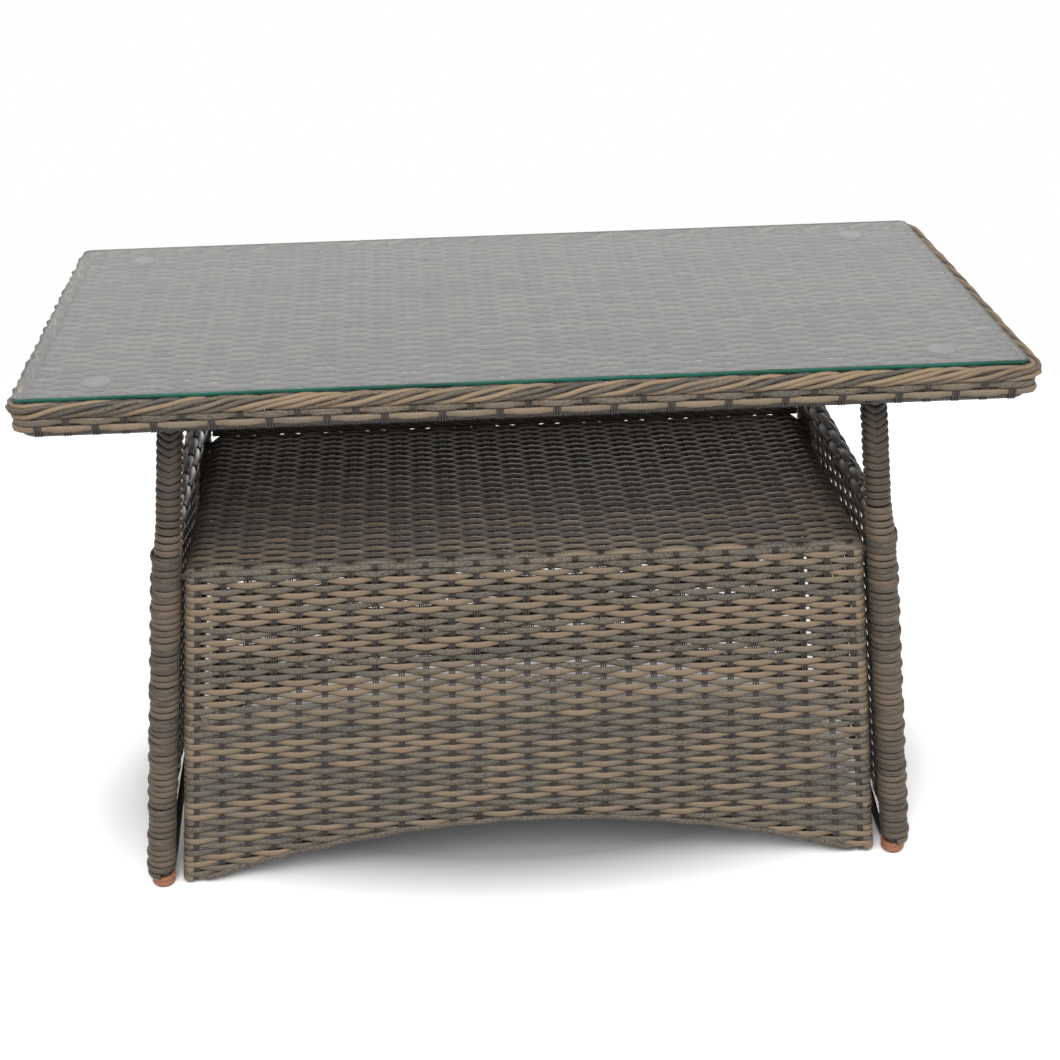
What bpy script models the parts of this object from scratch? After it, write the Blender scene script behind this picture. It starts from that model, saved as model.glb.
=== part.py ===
"""Wicker lounge table with a loose glass top and a woven shelf over an arched body.

Units are metres. The origin is on the ground in the middle of the footprint, +X runs along the
table's length, -Y is its front and +Z is up.
"""

import math

import bmesh
import bpy
from mathutils import Vector

# ---------------------------------------------------------------- driving dimensions
HEIGHT = 0.676                  # ground to the top face of the glass
RIM_LENGTH, RIM_DEPTH = 1.102, 0.552
RIM_CORNER = 0.030              # plan radius of the rim's outer corners
GAP = 0.0003                    # clearance between touching pieces

GLASS_LENGTH, GLASS_DEPTH, GLASS_THICKNESS = 1.085, 0.534, 0.005
GLASS_CORNER, GLASS_ARRIS = 0.010, 0.0008
GLASS_SHIFT_X = -0.003          # the loose glass lies a little to the left

PAD_RADIUS = 0.0145
PAD_INSET_X, PAD_INSET_Y = 0.0833, 0.0486   # pad centres, in from the edges of the glass

ROPE_RADIUS = 0.0090            # border rope along the rim
APRON_WIDTH, APRON_HEIGHT = 0.026, 0.0268   # woven sleeve round the top frame tube
TOP_TUBE_RADIUS, TUBE_WALL = 0.0080, 0.0015
SHEET_THICKNESS = 0.0050        # woven sheet under the glass
CROSS_BAR_WIDTH, CROSS_BAR_HEIGHT = 0.024, 0.0135

LEG_TOP_X, LEG_SPLAY = 0.3910, 0.1132       # centre line at LEG_REFERENCE_Z, sideways run per rise
LEG_REFERENCE_Z, LEG_Y = 0.606, 0.201
LEG_TUBE_RADIUS = 0.0110
UPPER_WRAP_RADIUS, LOWER_WRAP_RADIUS = 0.0147, 0.0172
WINDING_CANE, WINDING_PITCH = 0.0086, 0.0093    # cane wound round the upper legs
WINDING_POINTS = 10             # points in one turn of the winding
LOWER_WRAP_TOP, LOWER_WRAP_SHIFT = 0.4850, 0.0018   # the thicker winding bulges outwards
FOOT_HEIGHT, FOOT_RADIUS, FOOT_SOLE_RADIUS = 0.0150, 0.0150, 0.0105
FOOT_STEM_RADIUS, FOOT_STEM_HEIGHT = 0.0092, 0.0250

SHELF_TOP, SHELF_HALF_LENGTH = 0.4365, 0.3930
BODY_FRONT_Y, BODY_LEAN = 0.2055, 0.0045    # panel face at the shelf, and its outward lean at the foot
SHELF_NOSE, SKIN = 0.0120, 0.0080           # rounded long edges, woven skin thickness
PANEL_BOTTOM, PANEL_FOOT_HALF = 0.0050, 0.4350
PANEL_THICKNESS, PANEL_CORNER = 0.0070, 0.0080
ARCH_HALF, ARCH_RISE = 0.4000, 0.0655
SIDE_ARCH_HALF, SIDE_ARCH_RISE = 0.1500, 0.0400

RAIL_Z, RAIL_TUBE_RADIUS, RAIL_WRAP_RADIUS = 0.4585, 0.0070, 0.0140
SHELF_ROD_RADIUS, EDGE_ROD_RADIUS = 0.0060, 0.0045
EDGE_ROD_INSET = 0.0035         # arch rods sit this far inside the panel's outline
POST_INSET = 0.0115             # post centres, in from the panel's side edges
SLAT_WIDTH, SLAT_HEIGHT, SLAT_X = 0.0200, 0.0040, 0.1300

SHEET_ROWS, PANEL_ROWS, END_ROWS = 61, 51, 54   # canes across the sheet and up the panels
SHELF_ROWS, NOSE_ROWS = 48, 2   # canes over the level shelf and over each rounded edge
ROW_GROOVE, ROW_FALL = 0.0022, 0.25     # groove between two canes, and the share of a cane that falls
TRIM_MARGIN = 0.0020            # how far a ribbed slab runs past the outline that trims it

# ---------------------------------------------------------------- levels that follow
GLASS_BOTTOM = HEIGHT - GLASS_THICKNESS
ROPE_Z = GLASS_BOTTOM - 0.0005 - ROPE_RADIUS
APRON_TOP = ROPE_Z - ROPE_RADIUS - GAP
APRON_Z = APRON_TOP - APRON_HEIGHT / 2
SHEET_BOTTOM = ROPE_Z + 0.0002
SHEET_TOP = SHEET_BOTTOM + SHEET_THICKNESS
BAR_TOP = SHEET_BOTTOM - GAP
BAR_BOTTOM = BAR_TOP - CROSS_BAR_HEIGHT
LEG_TUBE_TOP = BAR_BOTTOM - GAP
NOSE_Z = SHELF_TOP - SHELF_NOSE
SHELF_ROD_Z = SHELF_TOP - SKIN - GAP - SHELF_ROD_RADIUS
SHELF_ROD_Y = BODY_FRONT_Y - SKIN - GAP - SHELF_ROD_RADIUS
SHELF_END_ROD_X = SHELF_HALF_LENGTH - 0.002 - SHELF_ROD_RADIUS
LEG_CLEAR_Y = LEG_Y - LOWER_WRAP_RADIUS - GAP
ROUND_STEPS = 16                # sides of a round tube
TOP_TUBE_STEPS = 12             # sides of the bent tube of the top frame
ROD_STEPS = 8                   # sides of a thin rod
FOOT_STEPS = 16                 # sides of a foot cap
CORNER_STEPS = 5                # steps in a quarter turn

SIGNS = {"left": -1.0, "right": 1.0, "front": -1.0, "back": 1.0}
CORNERS = [(depth, side) for depth in ("front", "back") for side in ("left", "right")]

# name: (linear colour, roughness, metallic, alpha)
FINISHES = {
    "woven_cane": ((0.165, 0.140, 0.112), 0.62, 0.0, 1.0),
    "wound_cane": ((0.130, 0.108, 0.084), 0.62, 0.0, 1.0),
    "rope_cane": ((0.190, 0.162, 0.128), 0.58, 0.0, 1.0),
    "coated_tube": ((0.030, 0.028, 0.026), 0.50, 0.6, 1.0),
    "clear_glass": ((0.55, 0.72, 0.66), 0.02, 0.0, 0.25),
    "clear_pad": ((0.62, 0.62, 0.60), 0.40, 0.0, 0.8),
    "foot_plastic": ((0.26, 0.115, 0.055), 0.45, 0.0, 1.0),
}


# ---------------------------------------------------------------- helpers
def clear_scene():
    """Remove whatever objects the file already holds."""
    for item in list(bpy.data.objects):
        bpy.data.objects.remove(item, do_unlink=True)


def finish_material(name):
    """Return the material of a named finish, made on first use."""
    found = bpy.data.materials.get(name)
    if found:
        return found
    colour, roughness, metallic, alpha = FINISHES[name]
    material = bpy.data.materials.new(name)
    material.use_nodes = True
    shader = material.node_tree.nodes["Principled BSDF"]
    shader.inputs["Base Color"].default_value = (*colour, 1.0)
    shader.inputs["Roughness"].default_value = roughness
    shader.inputs["Metallic"].default_value = metallic
    shader.inputs["Alpha"].default_value = alpha
    return material


def add_object(name, vertices, faces, finish, origin=(0.0, 0.0, 0.0), smooth=True):
    """Make one named object from world-space vertices, with its own origin."""
    shift = Vector(origin)
    mesh = bpy.data.meshes.new(name)
    mesh.from_pydata([Vector(v) - shift for v in vertices], [], faces)
    work = bmesh.new()
    work.from_mesh(mesh)
    bmesh.ops.recalc_face_normals(work, faces=work.faces)
    work.to_mesh(mesh)
    work.free()
    if smooth:
        mesh.shade_smooth()
        mesh.set_sharp_from_angle(angle=math.radians(35))
    mesh.materials.append(finish_material(finish))
    item = bpy.data.objects.new(name, mesh)
    item.location = shift
    bpy.context.scene.collection.objects.link(item)
    return item


def circle(radius, steps=ROUND_STEPS):
    """Return the points of a circle as (u, v) pairs."""
    turn = [2 * math.pi * k / steps for k in range(steps)]
    return [(radius * math.cos(a), radius * math.sin(a)) for a in turn]


def rounded_rectangle(width, height, radius, steps=CORNER_STEPS):
    """Return the points of a rectangle with round corners, counter-clockwise."""
    points = []
    for quarter, (sx, sy) in enumerate(((1, 1), (-1, 1), (-1, -1), (1, -1))):
        cx, cy = sx * (width / 2 - radius), sy * (height / 2 - radius)
        for k in range(steps + 1):
            angle = (quarter + k / steps) * math.pi / 2
            points.append((cx + radius * math.cos(angle), cy + radius * math.sin(angle)))
    return points


def lofted(name, rings, finish, bore_rings=None, origin=(0.0, 0.0, 0.0)):
    """Join rings of equal count into a closed body, or into a sleeve round its bore rings."""
    count = len(rings[0])
    vertices = [p for ring in rings for p in ring]
    faces = []
    for row in range(len(rings) - 1):
        for k in range(count):
            a, b = row * count + k, row * count + (k + 1) % count
            faces.append((a, b, b + count, a + count))
    last = (len(rings) - 1) * count
    if bore_rings is None:
        faces.append(tuple(range(count))[::-1])
        faces.append(tuple(last + k for k in range(count)))
        return add_object(name, vertices, faces, finish, origin)
    start = len(vertices)
    vertices += [p for ring in bore_rings for p in ring]
    for row in range(len(bore_rings) - 1):
        for k in range(count):
            a, b = start + row * count + k, start + row * count + (k + 1) % count
            faces.append((a, a + count, b + count, b))
    for k in range(count):
        n = (k + 1) % count
        faces.append((k, start + k, start + n, n))
        faces.append((last + k, last + n, start + last + n, start + last + k))
    return add_object(name, vertices, faces, finish, origin)


def ring_on_path(path, index, profile):
    """Place a profile of (outward, up) pairs square to a path of (x, y, z, outward x, outward y)."""
    x, y, z, nx, ny = path[index]
    return [(x + nx * u, y + ny * u, z + v) for u, v in profile]


def rim_path(inset, z, front):
    """Return the path of a long rim side with both corners, or of a short side between them."""
    hx, hy = RIM_LENGTH / 2 - inset, RIM_DEPTH / 2 - inset
    radius = RIM_CORNER - inset
    if not front:
        run = hy - radius - GAP / 2
        return [(-hx, -run, z, -1.0, 0.0), (-hx, run, z, -1.0, 0.0)]
    path = []
    for k in range(CORNER_STEPS + 1):
        angle = math.pi + k / CORNER_STEPS * math.pi / 2
        nx, ny = math.cos(angle), math.sin(angle)
        path.append((-hx + radius + radius * nx, -hy + radius + radius * ny, z, nx, ny))
    path[0] = (-hx, -hy + radius - GAP / 2, z, -1.0, 0.0)
    mirrored = [(-x, y, pz, -nx, ny) for x, y, pz, nx, ny in reversed(path)]
    return path + mirrored


def turned_about(path, sign):
    """Turn a path half a turn about Z when the sign is positive."""
    if sign < 0:
        return path
    return [(-x, -y, z, -nx, -ny) for x, y, z, nx, ny in path]


def rim_pieces(stem, inset, z, profile, finish, bore=None):
    """Make the four sides of a rim course; the long sides carry the corners."""
    for side in ("front", "back", "left", "right"):
        path = turned_about(rim_path(inset, z, side in ("front", "back")), SIGNS[side])
        rings = [ring_on_path(path, k, profile) for k in range(len(path))]
        bores = [ring_on_path(path, k, bore) for k in range(len(path))] if bore else None
        lofted(f"{stem}_{side}", rings, finish, bores)


def leg_x(z):
    """Return how far a leg's centre line stands from the middle at a height."""
    return LEG_TOP_X + LEG_SPLAY * (LEG_REFERENCE_Z - z)


def upright_rings(levels, centre, radius):
    """Return level circles round a centre line given as a function of height."""
    return [[(centre(z)[0] + u, centre(z)[1] + v, z) for u, v in circle(radius)] for z in levels]


def box(name, low, high, finish):
    """Make a plain box between two corners."""
    (x0, y0, z0), (x1, y1, z1) = low, high
    rings = [[(x0, y0, z), (x1, y0, z), (x1, y1, z), (x0, y1, z)] for z in (z0, z1)]
    return lofted(name, rings, finish)


def rod(name, start, end, radius, finish, bore=None):
    """Make a straight round rod along X or Y, or a tube if it has a bore."""
    along_x = abs(end[0] - start[0]) > abs(end[1] - start[1])

    def rings(r):
        pairs = circle(r)
        if along_x:
            return [[(p[0], p[1] + u, p[2] + v) for u, v in pairs] for p in (start, end)]
        return [[(p[0] + u, p[1], p[2] + v) for u, v in pairs] for p in (start, end)]

    return lofted(name, rings(radius), finish, rings(bore) if bore else None)


def cut(target, cutter, operation="DIFFERENCE"):
    """Subtract a hidden cutter from an object, or keep only what lies inside the cutter."""
    cutter.hide_render = True
    cutter.display_type = "WIRE"
    step = target.modifiers.new(f"cut_{cutter.name}", "BOOLEAN")
    step.operation = operation
    step.object = cutter


def cane_steps(start, end, rows):
    """Return (place, sink) points across a woven face: level over a cane, sunk between two."""
    pitch = (end - start) / rows
    steps = [(start, ROW_GROOVE)]
    for k in range(rows):
        steps += [(start + (k + ROW_FALL) * pitch, 0.0), (start + (k + 1 - ROW_FALL) * pitch, 0.0),
                  (start + (k + 1) * pitch, ROW_GROOVE)]
    return steps


def trimmed_slab(name, slab_rings, outline_rings):
    """Make a ribbed slab that is trimmed to the prism of its outline."""
    slab = lofted(name, slab_rings, "woven_cane")
    cut(slab, lofted(f"{name}_outline", outline_rings, "woven_cane"), "INTERSECT")
    return slab


# ---------------------------------------------------------------- top
def glass_top():
    """The loose pane, with round corners and ground edges."""
    levels = ((GLASS_BOTTOM, GLASS_ARRIS), (GLASS_BOTTOM + GLASS_ARRIS, 0.0),
              (HEIGHT - GLASS_ARRIS, 0.0), (HEIGHT, GLASS_ARRIS))
    rings = []
    for z, step_in in levels:
        outline = rounded_rectangle(GLASS_LENGTH - 2 * step_in, GLASS_DEPTH - 2 * step_in,
                                    GLASS_CORNER - step_in)
        rings.append([(x + GLASS_SHIFT_X, y, z) for x, y in outline])
    lofted("glass_top", rings, "clear_glass", origin=(0.0, 0.0, GLASS_BOTTOM))


def glass_pads():
    """Four soft discs stuck under the glass, resting on the woven sheet."""
    pad_bottom = SHEET_TOP + GAP
    pad_top = GLASS_BOTTOM - GAP
    for depth, side in CORNERS:
        x = GLASS_SHIFT_X + SIGNS[side] * (GLASS_LENGTH / 2 - PAD_INSET_X)
        y = SIGNS[depth] * (GLASS_DEPTH / 2 - PAD_INSET_Y)
        levels = ((pad_bottom, 0.0010), (pad_bottom + 0.0008, 0.0), (pad_top, 0.0))
        rings = [[(x + u, y + v, z) for u, v in circle(PAD_RADIUS - step_in, 20)]
                 for z, step_in in levels]
        lofted(f"glass_pad_{depth}_{side}", rings, "clear_pad")


def rim():
    """Border rope, woven apron sleeve and the bent tube inside it."""
    rim_pieces("rim_rope", ROPE_RADIUS, ROPE_Z, circle(ROPE_RADIUS), "rope_cane")
    inset = APRON_WIDTH / 2 + 0.0015
    sleeve = rounded_rectangle(APRON_WIDTH, APRON_HEIGHT, 0.0070, 3)
    hole = circle(TOP_TUBE_RADIUS + GAP, len(sleeve))
    rim_pieces("rim_apron", inset, APRON_Z, sleeve, "woven_cane", hole)
    rim_pieces("top_tube", inset, APRON_Z, circle(TOP_TUBE_RADIUS, TOP_TUBE_STEPS),
               "coated_tube", circle(TOP_TUBE_RADIUS - TUBE_WALL, TOP_TUBE_STEPS))


def tabletop_sheet():
    """The woven sheet that the glass's pads rest on."""
    inset = 2 * ROPE_RADIUS + GAP
    outline = rounded_rectangle(RIM_LENGTH - 2 * inset, RIM_DEPTH - 2 * inset,
                                RIM_CORNER - inset)
    prism = [[(x, y, z) for x, y in outline]
             for z in (SHEET_BOTTOM - TRIM_MARGIN, SHEET_TOP + TRIM_MARGIN)]
    half_x, half_y = RIM_LENGTH / 2 - inset, RIM_DEPTH / 2 - inset
    rows = cane_steps(-half_y, half_y, SHEET_ROWS)
    section = [(-half_y - TRIM_MARGIN, SHEET_BOTTOM), (half_y + TRIM_MARGIN, SHEET_BOTTOM),
               (half_y + TRIM_MARGIN, SHEET_TOP - ROW_GROOVE)]
    section += [(y, SHEET_TOP - sink) for y, sink in reversed(rows)]
    section.append((-half_y - TRIM_MARGIN, SHEET_TOP - ROW_GROOVE))
    slab = [[(x, y, z) for y, z in section]
            for x in (-half_x - TRIM_MARGIN, half_x + TRIM_MARGIN)]
    trimmed_slab("tabletop_weave", slab, prism)


def cross_bars():
    """Flat bars across the top frame: one over each pair of legs and one in the middle."""
    reach = RIM_DEPTH / 2 - APRON_WIDTH - 0.0015 - GAP
    at_leg = leg_x(LEG_TUBE_TOP)
    for name, x in (("left", -at_leg), ("middle", 0.0), ("right", at_leg)):
        box(f"top_cross_bar_{name}", (x - CROSS_BAR_WIDTH / 2, -reach, BAR_BOTTOM),
            (x + CROSS_BAR_WIDTH / 2, reach, BAR_TOP), "coated_tube")


# ---------------------------------------------------------------- legs
def leg_centre(depth, side, shift=0.0):
    """Return the centre line of one leg, moved outwards by a shift, as a function of height."""
    return lambda z: (SIGNS[side] * (leg_x(z) + shift), SIGNS[depth] * LEG_Y)


def legs():
    """Tube, wound sleeves and foot of each leg."""
    for depth, side in CORNERS:
        tag = f"{depth}_{side}"
        centre = leg_centre(depth, side)
        tube_levels = (FOOT_HEIGHT + GAP, LEG_TUBE_TOP)
        lofted(f"leg_tube_{tag}", upright_rings(tube_levels, centre, LEG_TUBE_RADIUS),
               "coated_tube", upright_rings(tube_levels, centre, LEG_TUBE_RADIUS - TUBE_WALL))
        hole = LEG_TUBE_RADIUS + GAP
        winding(f"leg_wrap_upper_{tag}", centre, LOWER_WRAP_TOP + GAP, LEG_TUBE_TOP)
        lower = (FOOT_HEIGHT + GAP, LOWER_WRAP_TOP)
        bulged = leg_centre(depth, side, LOWER_WRAP_SHIFT)
        sleeve = lofted(f"leg_wrap_lower_{tag}", upright_rings(lower, bulged, LOWER_WRAP_RADIUS),
                        "wound_cane", upright_rings(lower, centre, hole))
        cut_rod_holes(sleeve, depth, side)
        foot_cap(f"foot_cap_{tag}", centre)


def winding(name, centre, low, high):
    """One flat cane wound round a leg tube in a climbing coil, from a low level to a high one."""
    inner = (LEG_TUBE_RADIUS + GAP) / math.cos(math.pi / WINDING_POINTS)
    half = WINDING_CANE / 2
    section = ((inner, -half), (UPPER_WRAP_RADIUS, -half * 0.55),
               (UPPER_WRAP_RADIUS, half * 0.55), (inner, half))
    climb = high - low - WINDING_CANE
    steps = round(climb / WINDING_PITCH * WINDING_POINTS)
    rings = []
    for k in range(steps + 1):
        z = low + half + climb * k / steps
        angle = 2 * math.pi * k / WINDING_POINTS
        rings.append([(centre(z + rise)[0] + r * math.cos(angle),
                       centre(z + rise)[1] + r * math.sin(angle), z + rise)
                      for r, rise in section])
    turn_below = [min(q[2] for q in rings[k + WINDING_POINTS]) - max(p[2] for p in rings[k])
                  for k in range(steps + 1 - WINDING_POINTS)]
    print(f"{name}: {steps / WINDING_POINTS:.1f} turns, least gap between turns "
          f"{min(turn_below) * 1000:.2f} mm")
    return lofted(name, rings, "wound_cane")


def cut_rod_holes(sleeve, depth, side):
    """Let the side rail and the shelf rod through to the leg tube."""
    sx, sy = SIGNS[side], SIGNS[depth]
    rail_x = sx * leg_x(RAIL_Z)
    rail_cutter = rod(f"{sleeve.name}_rail_hole", (rail_x, sy * (LEG_Y - 0.024), RAIL_Z),
                      (rail_x, sy * LEG_Y, RAIL_Z), RAIL_TUBE_RADIUS + GAP, "coated_tube")
    rod_cutter = rod(f"{sleeve.name}_rod_hole", (sx * (leg_x(SHELF_ROD_Z) - 0.024),
                     sy * SHELF_ROD_Y, SHELF_ROD_Z),
                     (sx * (leg_x(SHELF_ROD_Z) - 0.004), sy * SHELF_ROD_Y, SHELF_ROD_Z),
                     SHELF_ROD_RADIUS + GAP, "coated_tube")
    cut(sleeve, rail_cutter)
    cut(sleeve, rod_cutter)


def foot_cap(name, centre):
    """Plastic plug: round sole, ribbed band, groove, collar and a stem inside the tube."""
    profile = ((FOOT_SOLE_RADIUS, 0.0), (0.0132, 0.0022), (0.0140, 0.0050), (0.0140, 0.0098),
               (0.0134, 0.0102), (0.0134, 0.0112), (FOOT_RADIUS, 0.0118),
               (FOOT_RADIUS, FOOT_HEIGHT), (FOOT_STEM_RADIUS, FOOT_HEIGHT),
               (FOOT_STEM_RADIUS - 0.0004, FOOT_HEIGHT + FOOT_STEM_HEIGHT))
    rings = []
    for radius, z in profile:
        x, y = centre(max(z, FOOT_HEIGHT))
        rings.append([(x + u, y + v, z) for u, v in circle(radius, FOOT_STEPS)])
    lofted(name, rings, "foot_plastic", origin=(*centre(0.0), 0.0))


# ---------------------------------------------------------------- sides
def side_rails():
    """Wrapped rail from front leg to back leg on each side, just above the shelf."""
    for side in ("left", "right"):
        x = SIGNS[side] * leg_x(RAIL_Z)
        reach = LEG_Y - LEG_TUBE_RADIUS - GAP
        rod(f"side_rail_tube_{side}", (x, -reach, RAIL_Z), (x, reach, RAIL_Z),
            RAIL_TUBE_RADIUS, "coated_tube", RAIL_TUBE_RADIUS - TUBE_WALL)
        rod(f"side_rail_wrap_{side}", (x, -LEG_CLEAR_Y, RAIL_Z), (x, LEG_CLEAR_Y, RAIL_Z),
            RAIL_WRAP_RADIUS, "wound_cane", RAIL_TUBE_RADIUS + GAP)


def arch_points(half, rise, foot_half, base):
    """Return (along, height) points of a level foot, an arc up and over, and a level foot."""
    radius = (half * half + rise * rise) / (2 * rise)
    sweep = math.asin(half / radius)
    steps = 16
    arc = []
    for k in range(steps + 1):
        angle = -sweep + 2 * sweep * k / steps
        arc.append((radius * math.sin(angle), base + rise - radius * (1 - math.cos(angle))))
    return [(-foot_half, base)] + arc + [(foot_half, base)]


def panel_outline(half_at, top, corner, arch):
    """Return an arched panel's outline: arch from left to right, then up and back over the top."""
    outline = []
    for sign, quarter in ((-1, 2), (1, 3)):
        foot = half_at(PANEL_BOTTOM) * sign
        cx, cz = foot - sign * corner, PANEL_BOTTOM + corner
        turn = [(quarter + k / CORNER_STEPS) * math.pi / 2 for k in range(CORNER_STEPS + 1)]
        round_corner = [(cx + corner * math.cos(a), cz + corner * math.sin(a)) for a in turn]
        outline += round_corner
        if sign < 0:
            outline += arch[1:-1]
    outline += [(half_at(top), top), (-half_at(top), top)]
    return outline


def ribbed_section(top, rows, thickness):
    """Return (depth, height) points of a panel's section: rows on its face, level behind."""
    low, high = PANEL_BOTTOM - TRIM_MARGIN, top + TRIM_MARGIN
    face = [(sink, z) for z, sink in cane_steps(PANEL_BOTTOM, top, rows)]
    return [(thickness, high), (thickness, low), (ROW_GROOVE, low)] + face + [(ROW_GROOVE, high)]


def end_panels():
    """Arched woven panels that hang from the side rails, in the plane of the splayed legs."""
    top = RAIL_Z - RAIL_WRAP_RADIUS - GAP
    arch = arch_points(SIDE_ARCH_HALF, SIDE_ARCH_RISE, LEG_CLEAR_Y, PANEL_BOTTOM)
    outline = panel_outline(lambda z: LEG_CLEAR_Y, top, PANEL_CORNER, arch)
    section = ribbed_section(top, END_ROWS, SKIN)
    half = LEG_CLEAR_Y + TRIM_MARGIN
    for side in ("left", "right"):
        sign = SIGNS[side]
        prism = [[(sign * (leg_x(z) + offset), y, z) for y, z in outline]
                 for offset in (-SKIN / 2 - TRIM_MARGIN, SKIN / 2 + TRIM_MARGIN)]
        slab = [[(sign * (leg_x(z) + SKIN / 2 - depth), y, z) for depth, z in section]
                for y in (-half, half)]
        trimmed_slab(f"side_panel_weave_{side}", slab, prism)
        inward = SKIN / 2 + GAP + EDGE_ROD_RADIUS
        lift = EDGE_ROD_INSET + EDGE_ROD_RADIUS
        path = arch_points(SIDE_ARCH_HALF, SIDE_ARCH_RISE, LEG_CLEAR_Y - 0.001,
                           PANEL_BOTTOM + lift)
        edge_rod(f"side_arch_rod_{side}",
                 [(sign * (leg_x(z) - inward), y, z) for y, z in path], across_x=True)


def edge_rod(name, points, across_x=False):
    """Sweep a thin rod through points that climb along X or Y."""
    rings = []
    for x, y, z in points:
        pairs = circle(EDGE_ROD_RADIUS, ROD_STEPS)
        if across_x:
            rings.append([(x + u, y, z + v) for u, v in pairs])
        else:
            rings.append([(x, y + u, z + v) for u, v in pairs])
    return lofted(name, rings, "coated_tube")


# ---------------------------------------------------------------- shelf and long panels
def panel_half(z):
    """Return the long panels' half width at a height."""
    drop = (SHELF_TOP - z) / (SHELF_TOP - PANEL_BOTTOM)
    return SHELF_HALF_LENGTH + (PANEL_FOOT_HALF - SHELF_HALF_LENGTH) * drop


def panel_face(z):
    """Return how far a long panel's outer face stands from the middle at a height."""
    return BODY_FRONT_Y + BODY_LEAN * (SHELF_TOP - z) / (SHELF_TOP - PANEL_BOTTOM)


def shelf():
    """The woven shelf, rounded over into the front and back panels."""
    level = BODY_FRONT_Y - SHELF_NOSE

    def nose(centre, start, end):
        """Return the section's points round one long edge."""
        return [(centre + (SHELF_NOSE - sink) * math.cos(angle),
                 NOSE_Z + (SHELF_NOSE - sink) * math.sin(angle))
                for angle, sink in cane_steps(start, end, NOSE_ROWS)]

    outer = nose(level, 0.0, math.pi / 2)
    outer += [(y, SHELF_TOP - sink) for y, sink in cane_steps(level, -level, SHELF_ROWS)[1:-1]]
    outer += nose(-level, math.pi / 2, math.pi)
    inner_y, inner_z = BODY_FRONT_Y - SKIN, SHELF_TOP - SKIN
    inner = [(-inner_y, NOSE_Z), (-inner_y, inner_z), (inner_y, inner_z), (inner_y, NOSE_Z)]
    rings = [[(x, y, z) for y, z in outer + inner]
             for x in (-SHELF_HALF_LENGTH, SHELF_HALF_LENGTH)]
    lofted("shelf_weave", rings, "woven_cane")


def shelf_frame():
    """Rods under the shelf's edges and slats across it."""
    for depth in ("front", "back"):
        reach = leg_x(SHELF_ROD_Z) - LEG_TUBE_RADIUS - GAP
        y = SIGNS[depth] * SHELF_ROD_Y
        rod(f"shelf_rod_{depth}", (-reach, y, SHELF_ROD_Z), (reach, y, SHELF_ROD_Z),
            SHELF_ROD_RADIUS, "coated_tube")
    inner_reach = SHELF_ROD_Y - SHELF_ROD_RADIUS - GAP
    for side in ("left", "right"):
        x = SIGNS[side] * SHELF_END_ROD_X
        rod(f"shelf_end_rod_{side}", (x, -inner_reach, SHELF_ROD_Z), (x, inner_reach, SHELF_ROD_Z),
            SHELF_ROD_RADIUS, "coated_tube")
        slat_x = SIGNS[side] * SLAT_X
        slat_top = SHELF_TOP - SKIN - GAP
        box(f"shelf_slat_{side}", (slat_x - SLAT_WIDTH / 2, -inner_reach, slat_top - SLAT_HEIGHT),
            (slat_x + SLAT_WIDTH / 2, inner_reach, slat_top), "coated_tube")


def long_panels():
    """Arched front and back panels with the posts and the arch rod behind them."""
    top = NOSE_Z - GAP
    arch = arch_points(ARCH_HALF, ARCH_RISE, PANEL_FOOT_HALF, PANEL_BOTTOM)
    outline = panel_outline(panel_half, top, PANEL_CORNER, arch)
    behind = PANEL_THICKNESS + GAP + EDGE_ROD_RADIUS
    lift = EDGE_ROD_INSET + EDGE_ROD_RADIUS
    section = ribbed_section(top, PANEL_ROWS, PANEL_THICKNESS)
    half = PANEL_FOOT_HALF + TRIM_MARGIN
    for depth in ("front", "back"):
        sign = SIGNS[depth]
        prism = [[(x, sign * (panel_face(z) - offset), z) for x, z in outline]
                 for offset in (-TRIM_MARGIN, PANEL_THICKNESS + TRIM_MARGIN)]
        slab = [[(x, sign * (panel_face(z) - sink), z) for sink, z in section]
                for x in (-half, half)]
        trimmed_slab(f"{depth}_panel_weave", slab, prism)
        for side in ("left", "right"):
            levels = (PANEL_BOTTOM + 0.004, SHELF_ROD_Z - SHELF_ROD_RADIUS - GAP)
            rings = [[(SIGNS[side] * (panel_half(z) - POST_INSET) + u,
                       sign * (panel_face(z) - behind) + v, z)
                      for u, v in circle(EDGE_ROD_RADIUS, ROD_STEPS)] for z in levels]
            lofted(f"{depth}_post_{side}", rings, "coated_tube")
        reach = panel_half(PANEL_BOTTOM + lift + EDGE_ROD_RADIUS) - POST_INSET - EDGE_ROD_RADIUS - GAP
        path = arch_points(ARCH_HALF, ARCH_RISE, reach, PANEL_BOTTOM + lift)
        edge_rod(f"{depth}_arch_rod",
                 [(x, sign * (panel_face(z) - behind), z) for x, z in path])


def main():
    """Build every piece of the table."""
    clear_scene()
    glass_top()
    glass_pads()
    rim()
    tabletop_sheet()
    cross_bars()
    legs()
    side_rails()
    end_panels()
    shelf()
    shelf_frame()
    long_panels()


main()
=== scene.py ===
"""Look of the wicker lounge table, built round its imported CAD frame.

Units are metres, -Y is the front and +Z is up. Every cane, stake and rib is one section carried
along a path that numpy works out as whole arrays, and every finish is a procedural material.
"""

import logging
import math
from dataclasses import dataclass, field
from enum import Enum
from typing import Callable

import bpy
import numpy as np
from mathutils import Matrix, Vector


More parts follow.
